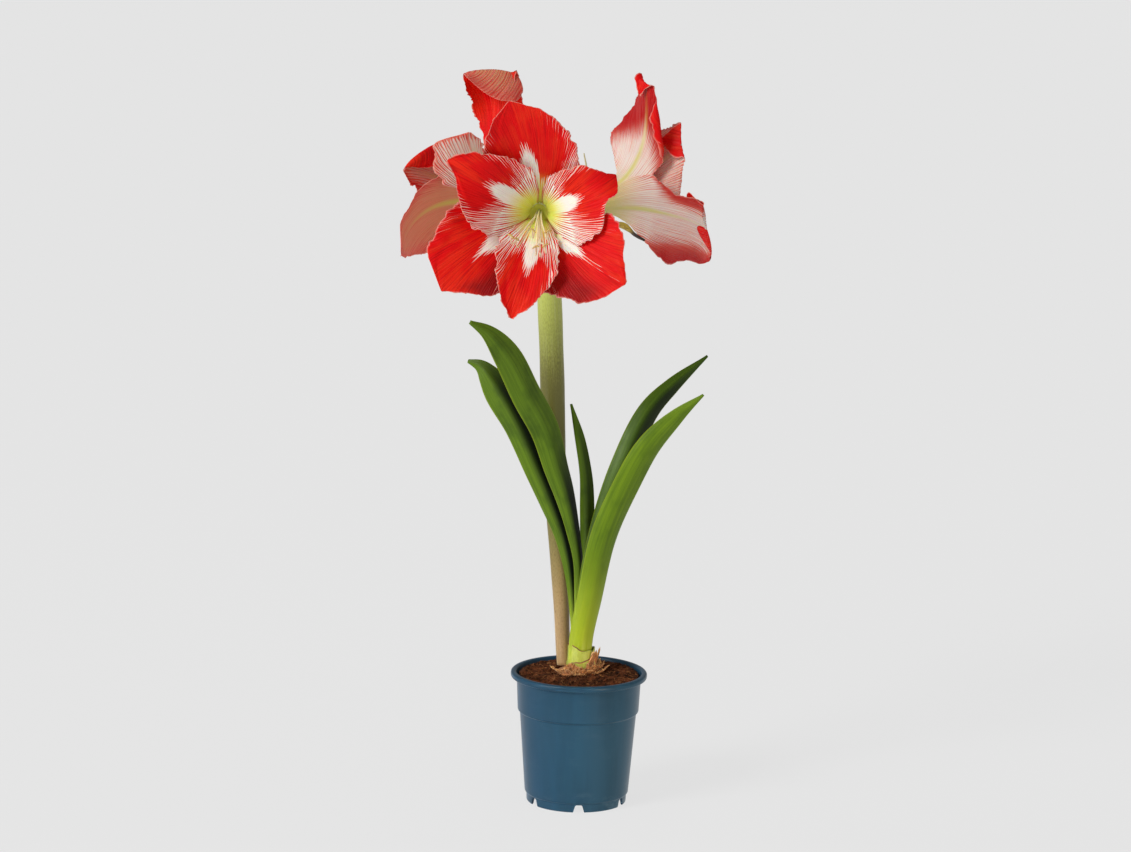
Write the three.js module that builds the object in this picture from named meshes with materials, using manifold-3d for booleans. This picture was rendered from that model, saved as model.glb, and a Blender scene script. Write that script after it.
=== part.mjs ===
// Amaryllis (Hippeastrum) in a round nursery pot: bulb, leaf fan, one scape and an umbel of
// three striped flowers.  Millimetres, +Z up.  The origin is on the pot's axis, in the plane
// that its foot stands on; the front of the plant looks along -Y.

import * as THREE from 'three';
import { mergeVertices } from 'three/addons/utils/BufferGeometryUtils.js';
import Module from 'manifold-3d';

const wasm = await Module();
wasm.setup();

// ---------------------------------------------------------------- driving dimensions

const GAP = 0.3; // clearance between pieces that touch
const SEGMENTS = 32; // round the pot and the soil

const POT = {
  height: 117,
  rimRadius: 60,
  lipInner: 56.2,
  lipHeight: 5.4,
  collarTop: 54.7,
  collarBottom: 53.3,
  collarHeight: 82,
  bodyTop: 51.4,
  bodyBottom: 45.7,
  footStep: 7.7,
  footRadius: 43.9,
  footWall: 1.9,
  wall: 1.4,
  floorUnder: 7.0,
  floorTop: 8.5,
  padRadius: 14.5,
  notches: 6,
  notchTurn: 3, // degrees, from the front
  notchTop: 5.6,
  notchBottom: 10.3,
  notchHeight: 6.8,
  drainRadius: 4,
  drainCircle: 32,
};

const SOIL = { rim: 112.2, middle: 114.2, wallGap: 0.35 };
const BULB = { base: 56, belly: 37, bellyHeight: 87, collar: 24.5, top: 119, topRadius: 21.4 };
const NECK = [
  { name: 'neck_sheath_outer', radius: 13.2, top: 125.5, slope: 3.0, turn: -75 },
  { name: 'neck_sheath_inner', radius: 12.2, top: 132.5, slope: 3.6, turn: 205 },
];
const NECK_CENTRE = new THREE.Vector2(1.6, -1.6);

// Scape: points of its axis, half its width at the foot and at the head.
const SCAPE = {
  path: [[-13.9, 10.2, 119.8], [-17.1, 13.6, 180], [-23.8, 14.4, 268], [-30.6, 11, 406], [-36, 7, 498]],
  footRadius: 5.7,
  headRadius: 10.6,
};

// Leaves: points of the midrib, half-widths from foot to tip, direction that the keel faces.
const LEAVES = {
  leaf_front_right: {
    path: [[1.6, -10.2, 119.8], [3, -10.4, 150], [9, -13, 183], [18.6, -18, 237], [37.2, -24, 287],
      [56.4, -30, 325], [79, -37, 353], [101, -45, 374]],
    half: [8.4, 10.2, 11.6, 12.8, 13, 12.2, 8.6, 0.9],
    bend: [60, 50, 42, 38, 34, 30],
    face: [0.28, -0.95, 0.12],
  },
  leaf_rear_right: {
    path: [[0.8, -7.4, 119.8], [0.8, -7.2, 160], [4.3, -6.4, 194], [7.5, -4.6, 214], [12.3, -1.8, 234.4],
      [18.4, 1.8, 254.7], [33.6, 10, 298], [55.7, 22, 345.8], [76, 33, 367.4], [106.7, 44, 393]],
    half: [5.2, 5.7, 6.8, 8.8, 10.8, 11.5, 10.3, 7.1, 0.9],
    bend: [36, 38, 42, 40, 36, 30],
    face: [0.1, -0.98, 0.15],
  },
  leaf_front_left: {
    path: [[-0.1, -3.4, 119.8], [-0.5, -2.2, 155], [-1, -1.2, 188], [-2.2, -2.9, 216], [-6.4, -7.8, 241],
      [-14.4, -13.6, 277.3], [-22.3, -16.5, 302], [-33, -20.6, 336], [-49, -30, 367], [-67, -39, 402.5],
      [-84, -47, 424], [-100, -53, 434]],
    half: [4.8, 4.8, 4.9, 7.7, 11.9, 14.4, 14.5, 12.4, 1.6],
    bend: [36, 44, 52, 50, 40, 30, 26],
    face: [0.36, -0.92, 0.1],
  },
  leaf_rear_left: {
    path: [[-2.7, 0.4, 119.8], [-4.3, 2, 153], [-6.6, 3.4, 177.5], [-9.4, 3.4, 200], [-13.1, 1.8, 220],
      [-18.7, 0, 241.6], [-29.1, -2, 269.3], [-39.2, -1, 293], [-58.9, 3, 336], [-84.2, 12, 376.3],
      [-92.3, 16, 384.3], [-103, 20, 387.8]],
    half: [4.4, 4.1, 4.8, 7, 10.4, 12.4, 13.3, 14.1, 1.6],
    bend: [36, 40, 44, 44, 40, 34, 28],
    face: [-0.05, -0.98, 0.1],
  },
  leaf_centre: {
    path: [[5.2, 2.6, 119.8], [4.8, 4, 180], [4.4, 7, 227], [3.6, 9.6, 260.5], [2.1, 11.4, 288],
      [-3.7, 13.6, 321], [-12.2, 15, 352.6]],
    half: [5.2, 5.7, 6.2, 6.8, 7.3, 7.2, 6.0, 4.7, 0.9],
    bend: [32, 40, 48, 46, 40],
    face: [-0.15, -0.98, 0.1],
  },
};
const LEAF_THICKNESS = { midrib: 2.0, margin: 0.9 };

// One tepal: azimuth of its foot round the flower's axis, length, half-width, spread from the
// axis at four stations, sideways sway and twist at the tip, and how far each margin bends
// towards the inside of the flower, at mid-length and at the tip.  All angles in degrees.
const TEPAL_THICKNESS = 1.1;
const WHORL = {
  inner: { ring: 7.7, foot: 6.6, lift: 0.35 },
  outer: { ring: 9.6, foot: 7.0, lift: 0.35 },
};

const FLOWERS = {
  front: {
    throat: [-43, -62, 531],
    azimuth: -92,
    elevation: 5,
    tepals: [
      { whorl: 'inner', az: 20, len: 91, half: [34, 30], blade: 0.42, taper: 2.2,
        open: [16, 44, 64, 136], sway: 8, twist: 0, left: [36, 14], right: [26, 6] },
      { whorl: 'outer', az: 92, len: 107, half: [38, 39], blade: 0.6, taper: 2.6,
        open: [26, 50, 62, 74], sway: 7, twist: 0, left: [14, 20], right: [14, 20] },
      { whorl: 'inner', az: 151, len: 98, half: [31, 39], blade: 0.4, taper: 2.2,
        open: [20, 46, 66, 98], sway: -5, twist: 0, left: [36, 28], right: [36, 12] },
      { whorl: 'outer', az: 222, len: 109, half: [49, 30], blade: 0.56, taper: 2.4,
        open: [30, 58, 68, 80], sway: -3, twist: 0, left: [14, 10], right: [14, 10] },
      { whorl: 'inner', az: 268, len: 104, half: [30, 25], blade: 0.46, taper: 2.4,
        open: [20, 46, 62, 84], sway: -9, twist: 0, left: [30, 20], right: [30, 20] },
      { whorl: 'outer', az: 313, len: 105, half: [34, 41], blade: 0.54, taper: 2.4,
        open: [28, 54, 66, 80], sway: 7, twist: 0, left: [14, 10], right: [14, 10] },
    ],
  },
  right: {
    throat: [6, 24, 528],
    azimuth: 25,
    elevation: 20,
    tepals: [
      { whorl: 'inner', az: 36, len: 100, half: [31, 31], blade: 0.54, taper: 2.6,
        open: [16, 30, 42, 56], sway: 0, twist: 0, left: [26, 10], right: [26, 10] },
      { whorl: 'outer', az: 104, len: 114, half: [36, 34], blade: 0.42, taper: 1.3,
        open: [26, 56, 68, 70], sway: 0, twist: 0, left: [24, 40], right: [24, 40] },
      { whorl: 'inner', az: 148, len: 96, half: [28, 30], blade: 0.6, taper: 2.6,
        open: [18, 40, 50, 84], sway: 0, twist: 0, left: [26, 10], right: [26, 10] },
      { whorl: 'outer', az: 226, len: 106, half: [40, 58], blade: 0.62, taper: 2.6,
        open: [24, 44, 56, 92], sway: 0, twist: 0, left: [16, 16], right: [6, 10] },
      { whorl: 'inner', az: 285, len: 106, half: [30, 31], blade: 0.54, taper: 2.6,
        open: [20, 42, 58, 84], sway: 0, twist: 0, left: [26, 10], right: [26, 10] },
      { whorl: 'outer', az: 345, len: 108, half: [37, 37], blade: 0.56, taper: 2.6,
        open: [24, 46, 60, 80], sway: 0, twist: 0, left: [14, 10], right: [14, 10] },
    ],
  },
  left: {
    throat: [-73, 24, 527],
    azimuth: 155,
    elevation: 18,
    tepals: [
      { whorl: 'inner', az: 8, len: 103, half: [32, 32], blade: 0.54, taper: 2.6,
        open: [20, 40, 58, 92], sway: 0, twist: 0, left: [26, 10], right: [26, 10] },
      { whorl: 'outer', az: 44, len: 78, half: [30, 28], blade: 0.6, taper: 2.6,
        open: [26, 52, 62, 68], sway: 0, twist: 0, left: [20, 10], right: [20, 10] },
      { whorl: 'inner', az: 116, len: 120, half: [29, 28], blade: 0.8, taper: 2.6,
        open: [20, 52, 76, 92], sway: 0, twist: -50, left: [26, 10], right: [26, 10] },
      { whorl: 'outer', az: 190, len: 108, half: [35, 36], blade: 0.56, taper: 2.6,
        open: [26, 52, 66, 84], sway: 0, twist: 0, left: [14, 10], right: [14, 10] },
      { whorl: 'inner', az: 242, len: 106, half: [31, 31], blade: 0.54, taper: 2.6,
        open: [20, 42, 58, 80], sway: 0, twist: 0, left: [26, 10], right: [26, 10] },
      { whorl: 'outer', az: 300, len: 98, half: [36, 52], blade: 0.56, taper: 2.6,
        open: [24, 46, 60, 86], sway: 0, twist: 0, left: [16, 16], right: [16, 16] },
    ],
  },
};

// Ovary and perianth tube, shared by the flowers: [radius, height below the tube's mouth].
const TUBE_OUTSIDE = [[0, -34], [3.6, -34], [5.6, -30], [6.2, -25.5], [5.0, -20.5], [4.7, -17],
  [5.8, -11], [8.2, -4.2], [10.4, 0]];
const TUBE_INSIDE = [[7.0, 0], [5.2, -5], [3.8, -11], [3.0, -15], [0, -16]];
const OVARY_FOOT = 34;
const PEDICEL = { radius: 3.3, ring: 6 };

const STAMENS = { count: 6, ring: 2.2, radius: 0.85, length: 84, anther: [8.5, 1.5] };
const PISTIL = { radius: 0.95, stigma: 2.1 };

const SPATHE = {
  spathe_valve_right: {
    path: [[-25, 1, 489], [-20, -2, 500], [-2, -3, 510], [24, 1, 512], [48, 5, 499]],
    half: [7.5, 8.6, 7.6, 5.2, 0.8],
    bend: [46, 52, 50, 44],
    face: [0.5, -0.2, -0.85],
  },
  spathe_valve_left: {
    path: [[-47.6, 12, 489], [-53, 16, 500], [-70, 30, 504], [-88, 44, 486], [-97, 50, 462]],
    half: [7.5, 8.6, 7.6, 5.2, 0.8],
    bend: [46, 52, 50, 44],
    face: [-0.6, 0.3, -0.75],
  },
};
const BRACTEOLE = {
  path: [[-30.4, 3, 498.9], [-29.6, 0.4, 512], [-11, -2, 538], [-3.4, -2.6, 558], [-6, -3, 575]],
  half: [1.6, 1.7, 1.3, 0.5],
  bend: [20, 20],
  face: [0.4, -0.9, 0],
};

// Papery tunic scales: bearing round the bulb's top, foot radius, height, half-width, outward lean.
const TUNIC = [
  { bearing: -112, radius: 18.2, height: 8, half: 8.0, lean: 24 },
  { bearing: -60, radius: 17.8, height: 11, half: 7.6, lean: 16 },
  { bearing: -8, radius: 17.4, height: 16, half: 7.4, lean: 20 },
  { bearing: 62, radius: 17.4, height: 10, half: 8.4, lean: 18 },
];

// ---------------------------------------------------------------- materials

const finish = (color, roughness) =>
  new THREE.MeshStandardMaterial({ color, roughness, metalness: 0, side: THREE.DoubleSide });

const MATERIAL = {
  plastic: finish(0x35566c, 0.55),
  soil: finish(0x3b2417, 0.95),
  tunic: finish(0x8a5a3c, 0.85),
  neck: finish(0xb6bb68, 0.5),
  leaf: finish(0x4f7a26, 0.45),
  scape: finish(0x9aa45c, 0.5),
  green: finish(0xa4b04c, 0.5),
  spathe: finish(0x7c6a35, 0.8),
  petal: finish(0xd9291d, 0.55),
  filament: finish(0xe6dfb4, 0.5),
};

// ---------------------------------------------------------------- helpers

const radians = THREE.MathUtils.degToRad;
const smooth = (from, to, x) => THREE.MathUtils.smoothstep(x, from, to);
const mix = THREE.MathUtils.lerp;
const vector = (list) => new THREE.Vector3(...list);

/** Value at t (0 to 1) of a smooth curve through evenly spaced values. */
function through(values, t) {
  const last = values.length - 1;
  const place = THREE.MathUtils.clamp(t, 0, 1) * last;
  const i = Math.min(Math.floor(place), last - 1);
  const f = place - i;
  const [b, c] = [values[i], values[i + 1]];
  const a = i > 0 ? values[i - 1] : 2 * b - c;
  const d = i + 2 <= last ? values[i + 2] : 2 * c - b;
  const slopeB = (c - a) / 2;
  const slopeC = (d - b) / 2;
  return b + f * (slopeB + f * (3 * (c - b) - 2 * slopeB - slopeC + f * (2 * (b - c) + slopeB + slopeC)));
}

/** Indexed geometry with its faces turned outwards. */
function solid(positions, indices) {
  let volume = 0;
  const [a, b, c] = [new THREE.Vector3(), new THREE.Vector3(), new THREE.Vector3()];
  for (let i = 0; i < indices.length; i += 3) {
    a.fromArray(positions, indices[i] * 3);
    b.fromArray(positions, indices[i + 1] * 3);
    c.fromArray(positions, indices[i + 2] * 3);
    volume += a.dot(b.cross(c));
  }
  if (volume < 0) {
    for (let i = 0; i < indices.length; i += 3) {
      [indices[i + 1], indices[i + 2]] = [indices[i + 2], indices[i + 1]];
    }
  }
  const geometry = new THREE.BufferGeometry();
  geometry.setAttribute('position', new THREE.Float32BufferAttribute(positions, 3));
  geometry.setIndex(indices);
  return geometry;
}

/** Thin closed shell about a mid-surface: surface(u, v) with u in 0..1 and v in -1..1. */
function shell(surface, thickness, along, across) {
  const rows = [];
  for (let i = 0; i <= along; i++) {
    const row = [];
    for (let j = 0; j <= across; j++) row.push(surface(i / along, (2 * j) / across - 1));
    rows.push(row);
  }
  const positions = [];
  const tangentU = new THREE.Vector3();
  const tangentV = new THREE.Vector3();
  for (const side of [1, -1]) {
    for (let i = 0; i <= along; i++) {
      for (let j = 0; j <= across; j++) {
        tangentU.subVectors(rows[Math.min(i + 1, along)][j], rows[Math.max(i - 1, 0)][j]);
        tangentV.subVectors(rows[i][Math.min(j + 1, across)], rows[i][Math.max(j - 1, 0)]);
        const half = (side * thickness(i / along, (2 * j) / across - 1)) / 2;
        const normal = tangentU.cross(tangentV).normalize().multiplyScalar(half);
        positions.push(...normal.add(rows[i][j]).toArray());
      }
    }
  }
  const width = across + 1;
  const back = (along + 1) * width;
  const indices = [];
  const quad = (a, b, c, d) => indices.push(a, b, c, a, c, d);
  for (let i = 0; i < along; i++) {
    for (let j = 0; j < across; j++) {
      const k = i * width + j;
      quad(k, k + width, k + width + 1, k + 1);
      quad(back + k, back + k + 1, back + k + width + 1, back + k + width);
    }
    const left = i * width;
    const right = left + across;
    quad(left, back + left, back + left + width, left + width);
    quad(right, right + width, back + right + width, back + right);
  }
  for (let j = 0; j < across; j++) {
    const end = along * width + j;
    quad(j, j + 1, back + j + 1, back + j);
    quad(end, back + end, back + end + 1, end + 1);
  }
  return solid(positions, indices);
}

/** Round bar along a curve, with its radius given at each place along it. */
function bar(curve, radius, steps, sides) {
  const frames = curve.computeFrenetFrames(steps);
  const positions = [];
  const indices = [];
  for (let i = 0; i <= steps; i++) {
    const centre = curve.getPointAt(i / steps);
    for (let j = 0; j < sides; j++) {
      const angle = (2 * Math.PI * j) / sides;
      const point = centre.clone()
        .addScaledVector(frames.normals[i], Math.cos(angle) * radius(i / steps))
        .addScaledVector(frames.binormals[i], Math.sin(angle) * radius(i / steps));
      positions.push(...point.toArray());
      if (i === steps) continue;
      const k = i * sides + j;
      const next = i * sides + ((j + 1) % sides);
      indices.push(k, next, next + sides, k, next + sides, k + sides);
    }
  }
  const foot = (steps + 1) * sides;
  positions.push(...curve.getPointAt(0).toArray(), ...curve.getPointAt(1).toArray());
  for (let j = 0; j < sides; j++) {
    const next = (j + 1) % sides;
    indices.push(foot, next, j, foot + 1, steps * sides + j, steps * sides + next);
  }
  return solid(positions, indices);
}

/** Solid of revolution about Z from [radius, height] points. */
function turned(profile, segments = SEGMENTS) {
  const geometry = new THREE.LatheGeometry(profile.map(([r, z]) => new THREE.Vector2(r, z)), segments);
  return geometry.rotateX(Math.PI / 2);
}

function toManifold(geometry) {
  const bare = geometry.clone();
  bare.deleteAttribute('normal');
  bare.deleteAttribute('uv');
  const merged = mergeVertices(bare, 1e-4);
  return new wasm.Manifold(new wasm.Mesh({
    numProp: 3,
    vertProperties: new Float32Array(merged.attributes.position.array),
    triVerts: new Uint32Array(merged.index.array),
  }));
}

function fromManifold(body) {
  const mesh = body.getMesh();
  const geometry = new THREE.BufferGeometry();
  geometry.setAttribute('position', new THREE.BufferAttribute(mesh.vertProperties, 3));
  geometry.setIndex(new THREE.BufferAttribute(mesh.triVerts, 1));
  return geometry;
}

function piece(name, geometry, material) {
  const mesh = new THREE.Mesh(geometry, material);
  mesh.name = name;
  return mesh;
}

// ---------------------------------------------------------------- pot, soil and bulb

/** Moulded pot: rolled lip, shallow collar, tapered body, notched foot and a central pad. */
function potGeometry() {
  const lip = POT.height - POT.lipHeight;
  const inside = (radius) => radius - POT.wall;
  const profile = [
    [0, 0], [POT.padRadius, 0], [POT.padRadius + 0.8, POT.floorUnder],
    [POT.footRadius - POT.footWall - 0.4, POT.floorUnder], [POT.footRadius - POT.footWall, 0],
    [POT.footRadius, 0], [POT.footRadius + 0.3, POT.footStep], [POT.bodyBottom, POT.footStep + 0.8],
    [POT.bodyTop, POT.collarHeight - 0.8], [POT.collarBottom, POT.collarHeight],
    [POT.collarTop, lip], [POT.rimRadius - 1.4, lip + 0.2], [POT.rimRadius, lip + 1.6],
    [POT.rimRadius, POT.height - 1.6], [POT.rimRadius - 1.5, POT.height - 0.2],
    [POT.lipInner, POT.height], [POT.lipInner - 1.2, POT.height - 0.8],
    [inside(POT.collarTop), lip - 1], [inside(POT.collarBottom), POT.collarHeight + 1],
    [inside(POT.bodyTop), POT.collarHeight - 1.6], [inside(POT.bodyBottom), POT.floorTop + 2],
    [inside(POT.bodyBottom) - 1.5, POT.floorTop], [POT.padRadius - 0.8, POT.floorTop],
    [POT.padRadius - 1.6, 1.6], [0, 1.6],
  ];
  let body = toManifold(turned(profile));

  const notch = new THREE.Shape([
    new THREE.Vector2(-POT.notchBottom / 2, -1), new THREE.Vector2(POT.notchBottom / 2, -1),
    new THREE.Vector2(POT.notchTop / 2 + 0.5, POT.notchHeight - 0.9),
    new THREE.Vector2(POT.notchTop / 2 - 0.5, POT.notchHeight),
    new THREE.Vector2(-POT.notchTop / 2 + 0.5, POT.notchHeight),
    new THREE.Vector2(-POT.notchTop / 2 - 0.5, POT.notchHeight - 0.9),
  ]);
  const drain = new THREE.Shape().absarc(POT.drainCircle, 0, POT.drainRadius, 0, 2 * Math.PI, false);
  const drainHole = new THREE.ExtrudeGeometry(drain, { depth: 6, bevelEnabled: false, curveSegments: 10 })
    .translate(0, 0, POT.floorUnder - 2);
  for (let i = 0; i < POT.notches; i++) {
    const bearing = radians(POT.notchTurn - 90 + (360 * i) / POT.notches);
    const cutter = new THREE.ExtrudeGeometry(notch, { depth: 8, bevelEnabled: false })
      .rotateX(Math.PI / 2)
      .translate(0, -POT.footRadius + 5, 0)
      .rotateZ(bearing + Math.PI / 2);
    const hole = drainHole.clone().rotateZ(bearing + Math.PI / POT.notches);
    body = body.subtract(toManifold(cutter)).subtract(toManifold(hole));
  }
  return fromManifold(body);
}

/** Outline of the bulb, from its basal plate up to the flat on which the neck stands. */
const BULB_PROFILE = [
  [0, BULB.base], [15, BULB.base], [21, BULB.base + 3], [34, BULB.bellyHeight - 12],
  [BULB.belly, BULB.bellyHeight], [34, BULB.bellyHeight + 12], [28, 108],
  [BULB.collar, SOIL.middle - 1], [BULB.topRadius + 1.6, BULB.top - 1.8],
  [BULB.topRadius, BULB.top], [0, BULB.top],
];

/** Potting soil: fills the pot round the bulb and rises a little towards it. */
function soilGeometry() {
  const clear = (radius) => radius - POT.wall - SOIL.wallGap;
  const pocket = BULB_PROFILE.filter(([, z]) => z < SOIL.middle - 0.5).map(([r, z]) => {
    if (r === 0) return [0, z - GAP];
    return z < BULB.bellyHeight ? [r + GAP, z - GAP] : [r + 1.4 * GAP, z];
  });
  const profile = [
    [0, 1.6 + GAP], [POT.padRadius - 1.6 - GAP, 1.6 + GAP], [POT.padRadius - 1.1, POT.floorTop + GAP],
    [clear(POT.bodyBottom) - 1.6, POT.floorTop + GAP], [clear(POT.bodyBottom), POT.floorTop + 2.4],
    [clear(POT.bodyTop), POT.collarHeight - 1.4], [clear(POT.collarBottom), POT.collarHeight + 1.4],
    [clear(POT.collarTop) - 0.2, SOIL.rim - 2.4], [clear(POT.collarTop) - 0.8, SOIL.rim - 0.6],
    [46, SOIL.rim + 0.2], [34, SOIL.middle], [BULB.collar + 2, SOIL.middle],
    ...pocket.reverse(),
  ];
  return turned(profile);
}

/** Torn ring of old leaf bases round the foot of the leaf fan, higher on one side. */
function neckGeometry({ radius, top, slope, turn }) {
  const wall = 0.7;
  const foot = BULB.top + GAP;
  const geometry = turned([
    [radius - wall, foot], [radius, foot], [radius, top], [radius - wall, top], [radius - wall, foot],
  ], 24);
  const position = geometry.attributes.position;
  for (let i = 0; i < position.count; i++) {
    if (position.getZ(i) < foot + 1) continue;
    const bearing = Math.atan2(position.getY(i), position.getX(i));
    position.setZ(i, top + slope * Math.cos(bearing - radians(turn)) + 0.7 * Math.sin(5 * bearing));
  }
  return geometry.translate(NECK_CENTRE.x, NECK_CENTRE.y, 0);
}

/** Papery scale that stands on the bulb's shoulder and leans outwards. */
function tunicGeometry({ bearing, radius, height, half, lean }) {
  const surface = (u, v) => {
    const reach = radius + height * u * Math.sin(radians(lean) * (0.5 + u));
    const swing = radians(bearing) + (v * half * (1 - 0.55 * u * u)) / radius;
    const edge = 1 - 0.35 * v * v - 0.08 * Math.cos(9 * v);
    return new THREE.Vector3(reach * Math.cos(swing), reach * Math.sin(swing),
      BULB.top + GAP + height * u * edge);
  };
  return shell(surface, () => 0.8, 3, 6);
}

// ---------------------------------------------------------------- leaves, spathe, scape

/** Channelled strap along a path, its keel turned to one side: leaf, spathe valve or bracteole. */
function strapGeometry({ path, half, bend, face }, thickness, along, across) {
  const curve = new THREE.CatmullRomCurve3(path.map(vector), false, 'centripetal');
  const towards = vector(face).normalize();
  const surface = (u, v) => {
    const tangent = curve.getTangentAt(u);
    const keel = towards.clone().addScaledVector(tangent, -towards.dot(tangent)).normalize();
    const width = tangent.clone().cross(keel);
    const reach = through(half, u);
    const turn = radians(through(bend, u));
    const angle = turn * Math.abs(v);
    return curve.getPointAt(u)
      .addScaledVector(width, (Math.sign(v) * reach * Math.sin(angle)) / turn)
      .addScaledVector(keel, (-reach * (1 - Math.cos(angle))) / turn);
  };
  const depth = (u, v) => mix(thickness.midrib, thickness.margin, Math.max(v * v, u ** 6));
  return shell(surface, depth, along, across);
}

function scapeCurve() {
  return new THREE.CatmullRomCurve3(SCAPE.path.map(vector), false, 'centripetal');
}

// ---------------------------------------------------------------- flowers

/** Half-width of a tepal along its length: narrow claw, broad blade, pointed tip. */
function tepalHalf(foot, half, blade, taper, t) {
  if (t < blade) return mix(foot, half, Math.sin((Math.PI / 2) * (t / blade)) ** 1.35);
  return mix(half, 1.2, ((t - blade) / (1 - blade)) ** taper);
}

/** Mid-surface of a tepal in the frame of its flower, whose axis is Z. */
function tepalSurface({ whorl, az, len, half, blade, taper, open, sway, twist, left, right }) {
  const { ring, foot, lift } = WHORL[whorl];
  const steps = 48;
  const axis = new THREE.Vector3(0, 0, 1);
  const radial = new THREE.Vector3(Math.cos(radians(az)), Math.sin(radians(az)), 0);
  const round = new THREE.Vector3(-radial.y, radial.x, 0);
  const heading = (t) => {
    const spread = radians(through(open, t));
    const drift = radians(sway) * t * 1.6;
    const out = radial.clone().multiplyScalar(Math.cos(drift)).addScaledVector(round, Math.sin(drift));
    const tangent = axis.clone().multiplyScalar(Math.cos(spread)).addScaledVector(out, Math.sin(spread));
    const inward = axis.clone().multiplyScalar(Math.sin(spread)).addScaledVector(out, -Math.cos(spread));
    const turn = radians(twist) * smooth(0.15, 1, t);
    const width = tangent.clone().cross(inward).negate().applyAxisAngle(tangent, turn);
    return { tangent, width, inward: inward.applyAxisAngle(tangent, turn) };
  };
  const spine = [radial.clone().multiplyScalar(ring).addScaledVector(axis, lift)];
  for (let i = 0; i < steps; i++) {
    spine.push(spine[i].clone().addScaledVector(heading((i + 0.5) / steps).tangent, len / steps));
  }
  return (u, v) => {
    const place = u * steps;
    const i = Math.min(Math.floor(place), steps - 1);
    const { width, inward } = heading(u);
    const reach = tepalHalf(foot, half[v < 0 ? 0 : 1], blade, taper, u);
    const [middle, tip] = v < 0 ? left : right;
    const curl = mix(middle, tip, smooth(0.45, 1, u));
    const bend = radians(mix(THREE.MathUtils.radToDeg(foot / ring), curl, smooth(0, 0.3, u))) || 1e-6;
    const angle = bend * Math.abs(v);
    return spine[i].clone().lerp(spine[i + 1], place - i)
      .addScaledVector(width, (Math.sign(v) * reach * Math.sin(angle)) / bend)
      .addScaledVector(inward, (reach * (1 - Math.cos(angle))) / bend);
  };
}

/** Curve of a filament or style that leaves the tube, dips to the flower's lower side and rises. */
function declinate(start, side, dip, length, upturn) {
  return new THREE.CatmullRomCurve3([
    start,
    new THREE.Vector3(start.x * 0.9 + side * 0.02, start.y - 1.5, 0),
    new THREE.Vector3(side * 0.35, -dip * 0.35, length * 0.38),
    new THREE.Vector3(side * 0.8, -dip * 0.85, length * 0.7),
    new THREE.Vector3(side, -dip, length * 0.86),
    new THREE.Vector3(side * 1.05, -dip + upturn, length),
  ]);
}

/** Six filaments with their anthers, joined at the foot by the ring that the tube carries. */
function stamensGeometry() {
  const ring = turned([[1.5, -14.2], [2.9, -14.2], [2.9, -12.6], [1.5, -12.6], [1.5, -14.2]], 12);
  let body = toManifold(ring);
  for (let i = 0; i < STAMENS.count; i++) {
    const bearing = radians(30 + 60 * i);
    const start = new THREE.Vector3(Math.cos(bearing), Math.sin(bearing), 0)
      .multiplyScalar(STAMENS.ring).setZ(-13.4);
    const side = 17 * Math.cos(bearing) * (i % 2 ? 1 : 0.7);
    const dip = 24 - 9 * Math.sin(bearing);
    const length = STAMENS.length * (i % 2 ? 0.92 : 0.8);
    const curve = declinate(start, side, dip, length, 7);
    const end = curve.getPointAt(1);
    const [long, thick] = STAMENS.anther;
    const anther = new THREE.SphereGeometry(1, 5, 4).scale(thick, thick, long / 2)
      .rotateY(Math.PI / 2 - 0.35 * Math.sign(side)).translate(end.x, end.y + 0.6, end.z + 0.4);
    body = body
      .add(toManifold(bar(curve, (t) => mix(STAMENS.radius, 0.6, t), 9, 4)))
      .add(toManifold(anther));
  }
  return fromManifold(body);
}

/** Style with its three-lobed stigma, standing on the floor of the tube. */
function pistilGeometry() {
  const curve = declinate(new THREE.Vector3(0, 0, -15.2), 5, 33, STAMENS.length * 1.04, 12);
  let body = toManifold(bar(curve, () => PISTIL.radius, 10, 5));
  const end = curve.getPointAt(1);
  for (let i = 0; i < 3; i++) {
    const angle = radians(90 + 120 * i);
    const lobe = new THREE.SphereGeometry(1, 5, 4).scale(PISTIL.stigma, 0.8, 0.8).rotateZ(angle)
      .translate(end.x + 1.2 * Math.cos(angle), end.y + 1.2 * Math.sin(angle), end.z + 0.2);
    body = body.add(toManifold(lobe));
  }
  return fromManifold(body);
}

/** Frame of a flower: origin in the mouth of its tube, Z along its axis, Y upwards. */
function flowerFrame({ throat, azimuth, elevation }) {
  const axis = new THREE.Vector3(1, 0, 0)
    .applyAxisAngle(new THREE.Vector3(0, -1, 0), radians(elevation))
    .applyAxisAngle(new THREE.Vector3(0, 0, 1), radians(azimuth));
  const up = new THREE.Vector3(0, 0, 1).addScaledVector(axis, -axis.z).normalize();
  const across = up.clone().cross(axis);
  return new THREE.Matrix4().makeBasis(across, up, axis).setPosition(...throat);
}

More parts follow.
